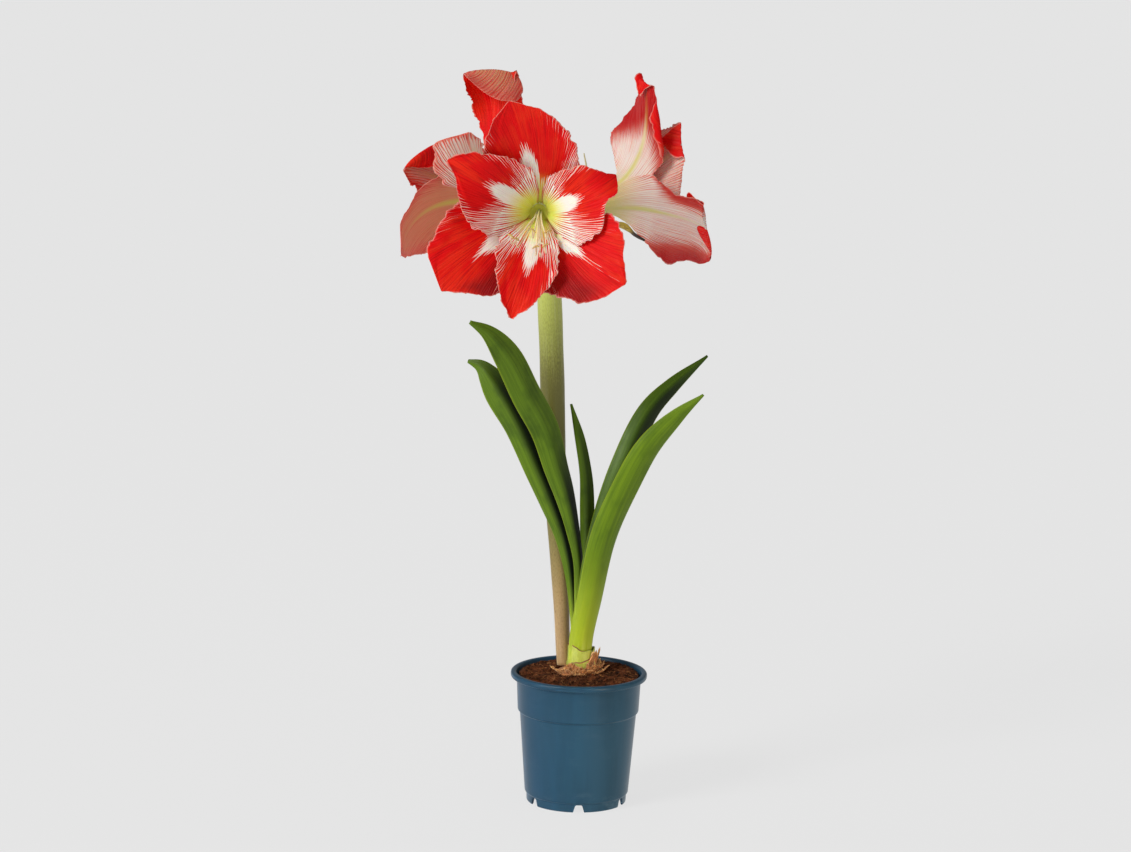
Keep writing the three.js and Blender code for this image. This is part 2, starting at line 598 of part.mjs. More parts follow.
function buildFlower(side, flower, seat, rise) {
  const group = new THREE.Group();
  const frame = flowerFrame(flower);
  const blossom = new THREE.Group();
  blossom.applyMatrix4(frame);
  flower.tepals.forEach((tepal, index) => {
    const geometry = shell(tepalSurface(tepal), (u) => mix(TEPAL_THICKNESS, 0.6, u ** 4), 10, 6);
    blossom.add(piece(`tepal_${side}_${tepal.whorl}_${index + 1}`, geometry, MATERIAL.petal));
  });
  blossom.add(piece(`flower_tube_${side}`, turned([...TUBE_OUTSIDE, ...TUBE_INSIDE], 12), MATERIAL.green));
  blossom.add(piece(`stamens_${side}`, stamensGeometry(), MATERIAL.filament));
  blossom.add(piece(`pistil_${side}`, pistilGeometry(), MATERIAL.filament));
  group.add(blossom);

  const axis = new THREE.Vector3(0, 0, 1).transformDirection(frame);
  const end = vector(flower.throat).addScaledVector(axis, -OVARY_FOOT - GAP);
  const stalk = new THREE.CubicBezierCurve3(seat, seat.clone().addScaledVector(rise, 12),
    end.clone().addScaledVector(axis, -14), end);
  group.add(piece(`pedicel_${side}`, bar(stalk, () => PEDICEL.radius, 7, 8), MATERIAL.green));
  return group;
}

// ---------------------------------------------------------------- assembly

const amaryllis = new THREE.Group();

amaryllis.add(piece('pot', potGeometry(), MATERIAL.plastic));
amaryllis.add(piece('soil', soilGeometry(), MATERIAL.soil));
amaryllis.add(piece('bulb', turned(BULB_PROFILE, 24), MATERIAL.tunic));
TUNIC.forEach((scale, index) => {
  amaryllis.add(piece(`tunic_scale_${index + 1}`, tunicGeometry(scale), MATERIAL.tunic));
});
for (const sheath of NECK) amaryllis.add(piece(sheath.name, neckGeometry(sheath), MATERIAL.neck));

for (const [name, leaf] of Object.entries(LEAVES)) {
  amaryllis.add(piece(name, strapGeometry(leaf, LEAF_THICKNESS, 15, 6), MATERIAL.leaf));
}

const scapeRadius = (t) => mix(SCAPE.footRadius, SCAPE.headRadius, Math.min(1, t * 1.7) ** 0.9);
amaryllis.add(piece('scape', bar(scapeCurve(), scapeRadius, 14, 16), MATERIAL.scape));

const THIN = { midrib: 0.9, margin: 0.7 };
for (const [name, valve] of Object.entries(SPATHE)) {
  amaryllis.add(piece(name, strapGeometry(valve, THIN, 10, 4), MATERIAL.spathe));
}
amaryllis.add(piece('bracteole', strapGeometry(BRACTEOLE, THIN, 10, 2), MATERIAL.green));

const head = scapeCurve().getPointAt(1);
const rise = scapeCurve().getTangentAt(1);
Object.entries(FLOWERS).forEach(([side, flower]) => {
  const bearing = radians(flower.azimuth);
  const outward = new THREE.Vector3(Math.cos(bearing), Math.sin(bearing), 0);
  const seat = outward.addScaledVector(rise, -rise.dot(outward)).setLength(PEDICEL.ring)
    .add(head).addScaledVector(rise, GAP);
  amaryllis.add(buildFlower(side, flower, seat, rise));
});

export default amaryllis;
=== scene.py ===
"""Potted amaryllis: bulb, leaf fan, one stalk and three striped flowers in a nursery pot.

Sizes in the classes are millimetres and become metres when a mesh is made.  The origin is on the
pot's axis, in the plane of its foot; Z is up and the front of the plant looks along -Y.
"""

import logging
import math
from collections.abc import Sequence
from dataclasses import dataclass
from enum import Enum

import bmesh
import bpy
import numpy as np
from mathutils import Matrix, Vector


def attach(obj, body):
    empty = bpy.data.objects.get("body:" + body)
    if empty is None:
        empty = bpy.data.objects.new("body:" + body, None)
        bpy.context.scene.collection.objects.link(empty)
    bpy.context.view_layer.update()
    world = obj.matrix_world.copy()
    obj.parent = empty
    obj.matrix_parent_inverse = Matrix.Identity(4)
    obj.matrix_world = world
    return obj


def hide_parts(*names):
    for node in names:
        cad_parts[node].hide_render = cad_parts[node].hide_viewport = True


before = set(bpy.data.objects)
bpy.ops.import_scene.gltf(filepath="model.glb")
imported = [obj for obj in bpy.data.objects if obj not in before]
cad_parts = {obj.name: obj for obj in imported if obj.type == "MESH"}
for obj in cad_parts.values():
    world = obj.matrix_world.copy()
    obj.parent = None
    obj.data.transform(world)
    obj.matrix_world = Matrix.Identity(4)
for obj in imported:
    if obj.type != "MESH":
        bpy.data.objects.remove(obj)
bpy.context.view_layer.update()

Array = np.ndarray
Colour = tuple[int, int, int]  # red, green and blue as a display shows them, 0 to 255
Point = tuple[float, float, float]
Socket = bpy.types.NodeSocket
Value = Socket | float | tuple
Material = bpy.types.Material
MM = 0.001
TURN = 2 * math.pi
WELD = 1e-6  # points nearer than this, in metres, become one
NO_AREA = 1e-7  # edges shorter than this, in metres, are dissolved
TILE_RIM = 0.02  # empty border of each tile of the map "OFBake"
log = logging.getLogger("amaryllis")


# ---------------------------------------------------------------- curves and patterns


def unit(vectors: Array) -> Array:
    """Vectors of length one along the last axis."""
    return vectors / np.maximum(np.linalg.norm(vectors, axis=-1, keepdims=True), 1e-12)


def ease(low: float | Array, high: float | Array, x: float | Array) -> Array:
    """Smooth step: 0 below low, 1 above high, and 3s^2 - 2s^3 of the way s between them."""
    s = np.clip((x - low) / (high - low), 0.0, 1.0)
    return s * s * (3.0 - 2.0 * s)


def through(values: tuple[float, ...], t: Array) -> Array:
    """Smooth curve through evenly spaced values: cubics whose slopes are the mean of both sides.

    Args:
        values: values at t = 0, ..., 1.
        t: places from 0 to 1.

    Returns:
        The curve's values at t.
    """
    v = np.asarray(values, float)
    last = len(v) - 1
    v = np.concatenate(([2 * v[0] - v[1]], v, [2 * v[-1] - v[-2]]))
    place = np.clip(t, 0.0, 1.0) * last
    i = np.minimum(place.astype(int), last - 1)
    f = place - i
    a, b, c, d = v[i], v[i + 1], v[i + 2], v[i + 3]
    p, q = (c - a) / 2, (d - b) / 2
    return b + f * (p + f * (3 * (c - b) - 2 * p - q + f * (2 * (b - c) + p + q)))


def travelled(path: Array) -> Array:
    """Length of a path up to each of its points."""
    return np.concatenate(([0], np.cumsum(np.linalg.norm(np.diff(path, axis=0), axis=1))))


def smooth_path(points: Sequence[Point], t: Array) -> Array:
    """Centripetal Catmull-Rom curve through points, taken at fractions t of its length.

    Args:
        points: three or more points.
        t: fractions of the length, from 0 to 1.

    Returns:
        One point for each t.
    """
    p = np.asarray(points, float)
    p = np.vstack((2 * p[0] - p[1], p, 2 * p[-1] - p[-2]))
    knots = np.maximum(np.linalg.norm(np.diff(p, axis=0), axis=1) ** 0.5, 1e-6)[:, None]
    d0, d1, d2 = knots[:-2], knots[1:-1], knots[2:]
    p0, p1, p2, p3 = p[:-3], p[1:-2], p[2:-1], p[3:]
    slope1 = ((p1 - p0) / d0 - (p2 - p0) / (d0 + d1) + (p2 - p1) / d1) * d1
    slope2 = ((p2 - p1) / d1 - (p3 - p1) / (d1 + d2) + (p3 - p2) / d2) * d1
    f = np.linspace(0, 1, 41)[:-1, None, None]
    fine = p1 + f * (slope1 + f * (3 * (p2 - p1) - 2 * slope1 - slope2
                                   + f * (2 * (p1 - p2) + slope1 + slope2)))
    fine = np.vstack((fine.transpose(1, 0, 2).reshape(-1, 3), p[-2]))
    run = travelled(fine)
    return np.stack([np.interp(t * run[-1], run, fine[:, k]) for k in range(3)], axis=-1)


def heading(path: Array) -> Array:
    """Unit tangents of a path, from the difference of the points on each side."""
    return unit(np.gradient(path, axis=0))


def square_to(along: Array, direction: Array) -> Array:
    """Unit vectors at right angles to each tangent, as near to a direction as they can be."""
    return unit(direction - along * (along @ direction)[:, None])


def mottle(x: Array, y: Array, seed: int) -> Array:
    """Value noise from -1 to 1: random numbers on a unit lattice, eased from each to the next.

    Args:
        x: first coordinate.
        y: second coordinate.
        seed: picks the random numbers.

    Returns:
        The noise at each place.
    """
    size = 64
    table = np.random.default_rng(seed).uniform(-1, 1, (size, size))
    i, j = np.floor(x).astype(int), np.floor(y).astype(int)
    u, v = ease(0, 1, x - i), ease(0, 1, y - j)
    i0, i1, j0, j1 = i % size, (i + 1) % size, j % size, (j + 1) % size
    low = table[i0, j0] * (1 - u) + table[i1, j0] * u
    return low * (1 - v) + (table[i0, j1] * (1 - u) + table[i1, j1] * u) * v


def layered(x: Array, y: Array, seed: int, layers: int) -> Array:
    """Sum of mottle at doubling frequencies and halving heights."""
    return sum(mottle(x * 2**k, y * 2**k, seed + k) / 2**k for k in range(layers))


def doubled(rows: Array) -> Array:
    """Rows with the first and the last given twice, for the points that close the ends."""
    return np.concatenate((rows[:1], rows, rows[-1:]))


# ---------------------------------------------------------------- skins


class Skin:
    """Closed surfaces gathered into one mesh.

    Each surface is a grid of rings: rows run along it and columns run round it.  Its first and
    last rows have no width, so welding them closes the ends.  The map "Grain" carries a pattern
    that follows the surface, and "OFBake" gives each surface its own tile of the unit square.
    """

    def __init__(self) -> None:
        """Starts with no surface."""
        self.rings: list[Array] = []
        self.grains: list[Array] = []
        self.values: list[dict[str, Array]] = []

    def ring(self, points: Array, grain: Array, **values: Array | float) -> None:
        """Adds one closed surface.

        Args:
            points: (rows, columns, 3) in millimetres, the last column next to the first.
            grain: (rows, columns + 1, 2) places on the map "Grain".
            values: (rows, columns) numbers kept with the points, by name.
        """
        self.rings.append(points)
        self.grains.append(np.broadcast_to(grain, (points.shape[0], points.shape[1] + 1, 2)))
        self.values.append({k: np.broadcast_to(v, points.shape[:2]) for k, v in values.items()})

    def sheet(self, middle: Array, thick: Array, grain: Array,
              **values: tuple[Array | float, Array | float]) -> None:
        """Adds a thin sheet: its middle surface moved half its thickness to each side.

        Args:
            middle: (rows, columns, 3) in millimetres.
            thick: (rows, columns) thickness in millimetres.
            grain: (rows, columns, 2) places on the map "Grain".
            values: for each name, the numbers of the front and of the back.
        """
        normal = unit(np.cross(np.gradient(middle, axis=0), np.gradient(middle, axis=1)))
        offset = normal * thick[..., None] / 2
        loop = np.concatenate((middle + offset, (middle - offset)[:, ::-1]), axis=1)
        slit = np.concatenate((middle, middle[:, ::-1]), axis=1)
        both = np.concatenate((grain, grain[:, ::-1], grain[:, :1]), axis=1)
        kept = {}
        for key, faces in values.items():
            front, back = (np.broadcast_to(face, middle.shape[:2]) for face in faces)
            kept[key] = doubled(np.concatenate((front, back[:, ::-1]), axis=1))
        self.ring(np.concatenate((slit[:1], loop, slit[-1:])), doubled(both), **kept)

    def tube(self, path: Array, radius: Array, side: Point, count: int, flat: float = 1.0,
             **values: Array | float) -> None:
        """Adds a bar: a circle of the given radius carried along a path, its ends drawn to a point.

        Args:
            path: (rows, 3) centre line.
            radius: (rows,) radius at each row.
            side: direction that stays clear of the path's own; the section is set out from it.
            count: columns round it.
            flat: the section's depth as a share of its width.
            values: (rows,) numbers kept with the points, by name.
        """
        along = heading(path)
        normal = square_to(along, np.asarray(side, float))
        other = np.cross(normal, along)
        angle = np.linspace(0, TURN, count + 1)
        reach = radius[:, None, None]
        ring = path[:, None] + reach * (np.cos(angle[:-1, None]) * normal[:, None]
                                        + flat * np.sin(angle[:-1, None]) * other[:, None])
        ring = np.concatenate((np.repeat(path[:1, None], count, 1), ring,
                               np.repeat(path[-1:, None], count, 1)))
        run = doubled(travelled(path))
        grain = np.stack(np.broadcast_arrays(angle * radius.mean(), run[:, None]), axis=-1)
        each = {k: np.broadcast_to(v, len(path)) for k, v in values.items()}
        self.ring(ring, grain, **{k: doubled(v)[:, None] for k, v in each.items()})

    def turned(self, profile: Array, count: int, wobble: Array | float = 1.0,
               **values: Array | float) -> None:
        """Adds a turned solid: (radius, height) rows spun about Z, each radius times its wobble.

        Args:
            profile: (rows, 2) from one pole to the other.
            count: columns round it.
            wobble: share of the radius, as one number or (rows, count).
            values: (rows, 1) numbers kept with the points, by name.
        """
        angle = np.linspace(0, TURN, count + 1)
        reach = profile[:, :1] * wobble * np.ones((1, count))
        points = np.stack((reach * np.cos(angle[:-1]), reach * np.sin(angle[:-1]),
                           profile[:, 1:] * np.ones((1, count))), axis=-1)
        run = travelled(profile)[:, None]
        grain = np.stack(np.broadcast_arrays(angle * profile[:, 0].max(), run), axis=-1)
        self.ring(points, grain, **values)

    @staticmethod
    def quads(ring: Array) -> tuple[Array, Array, Array]:
        """Faces of one surface, turned so that the volume they enclose is positive.

        Args:
            ring: (rows, columns, 3) points.

        Returns:
            Three (faces, 4) tables: point numbers, rows and columns of the corners.
        """
        rows, columns = ring.shape[:2]
        i, j = (a.ravel() for a in np.meshgrid(np.arange(rows - 1), np.arange(columns),
                                               indexing="ij"))
        corner_i = np.stack((i, i + 1, i + 1, i), axis=1)
        corner_j = np.stack((j, j, j + 1, j + 1), axis=1)
        quads = corner_i * columns + corner_j % columns
        a, b, c, d = (ring.reshape(-1, 3)[quads[:, k]] for k in range(4))
        if np.einsum("ij,ij->", a, np.cross(b, c) + np.cross(c, d)) < 0:
            return quads[:, ::-1], corner_i[:, ::-1], corner_j[:, ::-1]
        return quads, corner_i, corner_j

    def build(self, name: str, place: Array | None = None) -> bpy.types.Object:
        """Makes the mesh, four corners a face.

        Args:
            name: the object's name.
            place: 4 x 4 matrix, in millimetres, that the points are moved by.

        Returns:
            The object, linked to the scene.
        """
        faces, grains, tiles, kept = [], [], [], {}
        total, per_row = 0, math.ceil(math.sqrt(len(self.rings)))
        for number, (ring, grain, values) in enumerate(zip(self.rings, self.grains, self.values)):
            rows, columns = ring.shape[:2]
            quads, corner_i, corner_j = self.quads(ring)
            faces.append(quads + total)
            grains.append(grain[corner_i, corner_j].reshape(-1, 2))
            tile = np.stack((corner_j / columns, corner_i / (rows - 1)), axis=-1).reshape(-1, 2)
            home = np.array((number % per_row, number // per_row))
            tiles.append((home + TILE_RIM + (1 - 2 * TILE_RIM) * tile) / per_row)
            for key, value in values.items():
                kept.setdefault(key, []).append(value.ravel())
            total += rows * columns
        coords = np.concatenate([ring.reshape(-1, 3) for ring in self.rings])
        if place is not None:
            coords = coords @ place[:3, :3].T + place[:3, 3]
        mesh = bpy.data.meshes.new(name)
        mesh.from_pydata(coords * MM, [], np.concatenate(faces))
        for layer, table in (("Grain", grains), ("OFBake", tiles)):
            uv = mesh.uv_layers.new(name=layer)
            uv.data.foreach_set("uv", np.concatenate(table).ravel())
        for key, value in kept.items():
            store = mesh.attributes.new(key, "FLOAT", "POINT")
            store.data.foreach_set("value", np.concatenate(value))
        return self.weld(mesh)

    @staticmethod
    def weld(mesh: bpy.types.Mesh) -> bpy.types.Object:
        """Joins points at one place, shades the mesh smooth and links its object.

        Args:
            mesh: the new mesh.

        Returns:
            The object that shows it.
        """
        work = bmesh.new()
        work.from_mesh(mesh)
        bmesh.ops.remove_doubles(work, verts=work.verts, dist=WELD)
        bmesh.ops.dissolve_degenerate(work, edges=work.edges, dist=NO_AREA)
        work.to_mesh(mesh)
        work.free()
        mesh.shade_smooth()
        piece = bpy.data.objects.new(mesh.name, mesh)
        bpy.context.scene.collection.objects.link(piece)
        return piece


def finish_piece(piece: bpy.types.Object, node: str, slot: str, material: Material) -> None:
    """Dresses a piece and lets it stand for its node of the frame.

    Args:
        piece: the finished object.
        node: the CAD node it replaces.
        slot: the record's material slot.
        material: its finish.
    """
    piece.data.materials.clear()
    piece.data.materials.append(material)
    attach(piece, "root")
    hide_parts(node)
    log.info("%s: %d faces, slot %s", piece.name, len(piece.data.polygons), slot)


# ---------------------------------------------------------------- finishes


def linear(colour: Colour) -> tuple[float, float, float, float]:
    """Scene colour of an 8-bit display colour, by the sRGB curve.

    Args:
        colour: the display colour.

    Returns:
        Red, green, blue and alpha.
    """
    c = np.asarray(colour) / 255
    c = np.where(c <= 0.04045, c / 12.92, ((c + 0.055) / 1.055) ** 2.4)
    return (*c.tolist(), 1.0)


class Graph:
    """Node tree of one material, with a short method for each kind of node it uses."""

    def __init__(self, name: str, **sockets: Value) -> None:
        """Makes the material.

        Args:
            name: the finish's name.
            sockets: constants for the shader, spaces written as underscores.
        """
        self.material = bpy.data.materials.new(name)
        self.material.use_nodes = True
        self.tree = self.material.node_tree
        self.shader = self.tree.nodes["Principled BSDF"]
        for key, value in sockets.items():
            self.feed(self.shader.inputs[key.replace("_", " ")], value)

    def feed(self, socket: Socket, value: Value | Colour) -> None:
        """Links a socket or sets its constant.

        Args:
            socket: an input of a node.
            value: an output to link, or a constant; a colour is given as a display colour.
        """
        if isinstance(value, Socket):
            self.tree.links.new(value, socket)
        elif isinstance(value, tuple) and socket.type == "RGBA":
            socket.default_value = linear(value)
        else:
            socket.default_value = value

    def node(self, kind: str, inputs: dict[int | str, Value],
             **settings: str | bool) -> bpy.types.Node:
        """Adds a node.

        Args:
            kind: its type without the "ShaderNode" in front.
            inputs: what each input is fed.
            settings: its properties.

        Returns:
            The node.
        """
        made = self.tree.nodes.new("ShaderNode" + kind)
        for key, value in settings.items():
            setattr(made, key, value)
        for key, value in inputs.items():
            self.feed(made.inputs[key], value)
        return made

    def place(self) -> Socket:
        """Object coordinates."""
        return self.node("TexCoord", {}).outputs["Object"]

    def grain(self) -> Socket:
        """The map that follows the surface."""
        return self.node("UVMap", {}, uv_map="Grain").outputs[0]

    def part(self, vector: Value, axis: int) -> Socket:
        """One of a vector's three numbers."""
        return self.node("SeparateXYZ", {0: vector}).outputs[axis]

    def kept(self, name: str) -> Socket:
        """A number kept with the points."""
        return self.node("Attribute", {}, attribute_name=name).outputs["Fac"]

    def scaled(self, vector: Value, scale: Point) -> Socket:
        """Vector times a scale along each axis."""
        return self.node("Mapping", {"Vector": vector, "Scale": scale}).outputs[0]

    def noise(self, vector: Value, scale: float, detail: float = 3.0, roughness: float = 0.55,
              distortion: float = 0.0) -> Socket:
        """Fractal noise from 0 to 1, most of it near a half.

        Args:
            vector: where it is read.
            scale: waves to the unit.
            detail: octaves of finer noise.
            roughness: how strong they are.
            distortion: how far they are led astray.

        Returns:
            The noise.
        """
        made = self.node("TexNoise", {"Vector": vector, "Scale": scale, "Detail": detail,
                                      "Roughness": roughness, "Distortion": distortion})
        return made.outputs["Fac"]

    def fibres(self, across: float, along: float, scale: float = 1.0, detail: float = 2.0,
               roughness: float = 0.55) -> Socket:
        """Fractal noise on the map that follows the surface, scaled across it and along it."""
        return self.noise(self.scaled(self.grain(), (across, along, 1.0)), scale, detail, roughness)

    def band(self, x: Value, low: float, high: float, first: float = 0.0,
             last: float = 1.0) -> Socket:
        """Smooth step of x from first, below low, to last, above high."""
        return self.node("MapRange", {0: x, 1: low, 2: high, 3: first, 4: last},
                         interpolation_type="SMOOTHSTEP").outputs[0]

    def number(self, operation: str, a: Value, b: Value = 0.0, c: Value = 0.0) -> Socket:
        """Arithmetic on one number, two, or three for MULTIPLY_ADD."""
        return self.node("Math", {0: a, 1: b, 2: c}, operation=operation).outputs[0]

    def times(self, a: Value, b: Value) -> Socket:
        """Product of two numbers."""
        return self.number("MULTIPLY", a, b)

    def plus(self, a: Value, b: Value) -> Socket:
        """Sum of two numbers."""
        return self.number("ADD", a, b)

    def swing(self, x: Value, height: float, middle: Value | None = None) -> Socket:
        """Height times a pattern from 0 to 1, moved to swing about zero, or about the middle."""
        about = self.number("MULTIPLY_ADD", x, height, -height / 2)
        return about if middle is None else self.plus(middle, about)

    def blend(self, factor: Value, a: Value | Colour, b: Value | Colour) -> Socket:
        """Colour a, changed towards b as far as the factor says."""
        return self.node("Mix", {0: factor, 6: a, 7: b}, data_type="RGBA",
                         clamp_factor=True).outputs[2]

    def relief(self, height: Value, depth: float, strength: float = 1.0) -> None:
        """Raises the surface in its shading only.

        Args:
            height: the pattern.
            depth: millimetres that one of its units stands for.
            strength: share of the tilt that shows.
        """
        bump = self.node("Bump", {"Height": height, "Distance": depth * MM, "Strength": strength})
        self.feed(self.shader.inputs["Normal"], bump.outputs[0])

    def done(self, colour: Value, roughness: Value | None = None) -> Material:
        """Feeds the shader's colour and, where it varies, its roughness.

        Args:
            colour: the base colour.
            roughness: the roughness, where it isn't one number.

        Returns:
            The material.
        """
        self.feed(self.shader.inputs["Base Color"], colour)
        if roughness is not None:
            self.feed(self.shader.inputs["Roughness"], roughness)
        return self.material


@dataclass(frozen=True)
class PetalFinish:
    """Scarlet petal with a cream star; the lines follow the veins that fan out of the throat.

    Colour: the point's "red" plus a wave across the veins is cut at a half, so that a half-way
    value gives alternate red and cream lines.  "inside" picks the face, "green" the throat and the
    midrib, "deep" the painted shade that darkens it to crimson, "seam" the crimson foot and
    "margin" the pale rim; "peach" is a painted glow of light through the petal on the outside.
    """

    scarlet: Colour = (225, 2, 4)
    orange: Colour = (231, 36, 12)
    # the petal's own crimson lines and foot, and the colour of painted shade on the outside
    crimson: Colour = (172, 4, 12)
    # painted shade: colour the inside turns to where it is darkened
    shade: Colour = (120, 6, 10)
    cream: Colour = (252, 244, 232)
    blush: Colour = (246, 196, 186)
    back_red: Colour = (206, 62, 52)
    back_light: Colour = (228, 128, 108)
    back_blush: Colour = (236, 214, 204)
    # painted glow: light through the red petal, shown on its outside
    peach: Colour = (216, 140, 104)
    lime: Colour = (236, 238, 84)
    moss: Colour = (204, 198, 84)
    edge: Colour = (240, 170, 156)
    vein_gap: float = 2.2

    def veins(self, g: Graph) -> Socket:
        """Wave across the veins, a cosine led astray by noise; where they have spread, a wave of
        twice the number takes over, as if each had branched.

        Args:
            g: the node tree.

        Returns:
            The wave, from -1 to 1.
        """
        wander = g.fibres(1.0, 1.6, 0.5)
        phase = g.number("MULTIPLY_ADD", g.part(g.grain(), 0), TURN / self.vein_gap,
                         g.swing(wander, 7.0))
        once, twice = g.number("COSINE", phase), g.number("COSINE", g.times(phase, 2.0))
        spread = g.band(g.kept("along"), 0.28, 0.42)
        return g.number("MULTIPLY_ADD", spread, g.number("SUBTRACT", twice, once), once)

    def inner(self, g: Graph, value: Socket, fine: Socket, broad: Socket) -> Socket:
        """Colour of the inside.

        Args:
            g: the node tree.
            value: how red each point is, cut at a half.
            fine: short noise along the veins.
            broad: wide noise along the veins.

        Returns:
            Scarlet with orange clouds and crimson lines where the value is high, partly the petal's
            own tone and partly painted light on its ridges and painted shade between them; cream or
            blush where it is low.
        """
        red = g.band(value, 0.44, 0.58)
        # partly own tone, partly painted light and shade: orange for lit ridges, crimson lines
        # between
        cloud = g.swing(broad, 1.2, g.noise(g.place(), 40.0, 2.0))
        tone = g.blend(g.band(cloud, 0.36, 0.66), self.scarlet, self.orange)
        tone = g.blend(g.times(g.band(fine, 0.5, 0.68), 0.55), tone, self.crimson)
        flushed = g.times(g.band(g.kept("red"), -0.3, 0.3), g.band(g.kept("along"), 0.3, 0.6))
        pale = g.blend(flushed, self.cream, self.blush)
        # painted shade on the inside: its red turns to the shade colour by the kept deep
        return g.blend(g.times(g.kept("deep"), red), g.blend(red, pale, tone), self.shade)

    def outer(self, g: Graph, value: Socket, fine: Socket) -> Socket:
        """Colour of the outside.

        Args:
            g: the node tree.
            value: how red each point is, in a soft step.
            fine: short noise along the veins.

        Returns:
            Dusty red where the value is high, blush or peach (a painted glow) where it is low, and
            crimson on top as painted shade.
        """
        red = g.blend(g.band(fine, 0.36, 0.68), self.back_red, self.back_light)
        # painted glow: peach where light through the petal shows on the outside
        pale = g.blend(g.kept("peach"), self.back_blush, self.peach)
        colour = g.blend(g.band(value, 0.2, 0.86), pale, red)
        # painted shade on the outside: it turns crimson by the kept deep
        return g.blend(g.times(g.kept("deep"), g.band(fine, 0.3, 0.6, 0.75, 1.0)), colour,
                       self.crimson)

    def material(self) -> Material:
        """Builds the node tree.

        Returns:
            The material.
        """
        g = Graph("petal", Specular_IOR_Level=0.15, Subsurface_Weight=0.3, Subsurface_Scale=0.003)
        vein = self.veins(g)
        fine, broad = g.fibres(1.0, 0.8, 1.7, 1.5), g.fibres(1.0, 0.6, 0.32)
        streak = g.number("MULTIPLY_ADD", vein, 0.46, g.swing(fine, 0.64))
        value = g.plus(g.kept("red"), streak)
        inside = g.kept("inside")
        colour = g.blend(inside, self.outer(g, value, fine), self.inner(g, value, fine, broad))
        colour = g.blend(g.times(g.kept("green"), g.band(fine, 0.35, 0.6, 0.8, 1.0)), colour,
                         g.blend(inside, self.moss, self.lime))
        colour = g.blend(g.times(g.kept("seam"), g.band(fine, 0.4, 0.6, 0.35, 1.0)), colour,
                         self.crimson)
        colour = g.blend(g.times(g.kept("margin"), 0.65), colour, self.edge)
        folds = g.number("MULTIPLY_ADD", broad, 1.4, fine)
        g.relief(g.number("MULTIPLY_ADD", vein, 0.25, folds), 0.5, 0.7)
        return g.done(colour, g.band(fine, 0.3, 0.7, 0.5, 0.66))


@dataclass(frozen=True)
class LeafFinish:
    """Waxy strap leaf: fine parallel veins, pale foot, darker blade, thin lighter margins.

    Reach is how far up the leaf its pale foot shows.  Painted shade darkens the half turned
    from the light towards deep, as far as the kept shade says.
    """

    blade: Colour = (84, 112, 14)
    bright: Colour = (97, 126, 20)
    dark: Colour = (36, 62, 6)
    foot: Colour = (164, 178, 34)
    pale: Colour = (190, 196, 84)
    # painted shade: colour of the leaf's half turned from the light
    deep: Colour = (10, 19, 4)
    reach: float = 0.28

    def material(self) -> Material:
        """Builds the node tree: noise drawn out along the leaf makes the veins.

        Returns:
            The material.
        """
        g = Graph("leaf", Roughness=0.42, Specular_IOR_Level=0.2)
        veins, bands = g.fibres(2.4, 0.02), g.fibres(0.45, 0.01)
        cloud = g.fibres(0.06, 0.03, detail=3.0)
        colour = g.blend(g.band(bands, 0.35, 0.65), self.blade, self.bright)
        colour = g.blend(g.band(cloud, 0.45, 0.7, 0.0, 0.4), colour, self.dark)
        colour = g.blend(g.band(veins, 0.45, 0.62, 0.0, 0.22), colour, self.dark)
        height = g.swing(bands, 0.2, g.kept("height"))
        colour = g.blend(g.band(height, 0.04, self.reach, 0.85, 0.0), colour, self.foot)
        # painted shade on the half turned from the light, by the kept shade
        colour = g.blend(g.kept("shade"), colour, self.deep)
        colour = g.blend(g.band(height, 0.0, 0.1, 0.8, 0.0), colour, self.pale)
        colour = g.blend(g.times(g.kept("margin"), 0.45), colour, self.foot)
        g.relief(g.plus(veins, g.times(bands, 0.5)), 0.25, 0.5)
        return g.done(colour, g.band(cloud, 0.3, 0.7, 0.36, 0.5))


@dataclass(frozen=True)
class StalkFinish:
    """Flower stalk: pinkish brown foot, olive middle, pale green head under a waxy bloom; the
    middle is darkened in part as painted shadow cast by the leaves.
    """

    foot: Colour = (176, 142, 94)
    # partly its own olive, partly painted shadow cast by the leaves
    middle: Colour = (108, 104, 34)
    head: Colour = (184, 194, 86)
    bloom: Colour = (200, 206, 146)
    freckle: Colour = (110, 62, 40)

    def material(self) -> Material:
        """Builds the node tree: colour by height, fine lengthwise lines, red-brown freckles.

        Returns:
            The material.
        """
        g = Graph("stalk", Roughness=0.5, Sheen_Weight=0.1)
        lines, spots = g.fibres(1.6, 0.02), g.fibres(1.0, 0.35, 1.1, 4.0)
        height = g.swing(spots, 0.24, g.kept("height"))
        # painted shadow: the dark olive middle stands in part for the leaves' shadow
        colour = g.blend(g.band(height, 0.02, 0.4), self.foot, self.middle)
        colour = g.blend(g.band(height, 0.64, 0.92), colour, self.head)
        waxy = g.times(g.band(lines, 0.45, 0.7), g.band(height, 0.55, 0.9, 0.0, 0.25))
        colour = g.blend(waxy, colour, self.bloom)
        low = g.band(g.kept("height"), 0.1, 0.7, 0.55, 0.08)
        colour = g.blend(g.times(g.band(spots, 0.56, 0.66), low), colour, self.freckle)
        g.relief(lines, 0.2, 0.6)
        return g.done(colour)


@dataclass(frozen=True)
class GreenFinish:
    """Ovary, tube and pedicel: smooth yellow-green with paler lines and a pale fringe."""

    base: Colour = (158, 168, 62)
    light: Colour = (200, 204, 122)
    throat: Colour = (228, 228, 96)
    fringe: Colour = (240, 240, 196)

    def material(self) -> Material:
        """Builds the node tree.

        Returns:
            The material.
        """
        g = Graph("flower_green", Roughness=0.45, Subsurface_Weight=0.1, Subsurface_Scale=0.002)
        lines = g.fibres(0.9, 0.08)
        colour = g.blend(g.band(lines, 0.35, 0.65), self.base, self.light)
        colour = g.blend(g.kept("throat"), colour, self.throat)
        colour = g.blend(g.kept("fringe"), colour, self.fringe)
        g.relief(lines, 0.3, 0.5)
        return g.done(colour)


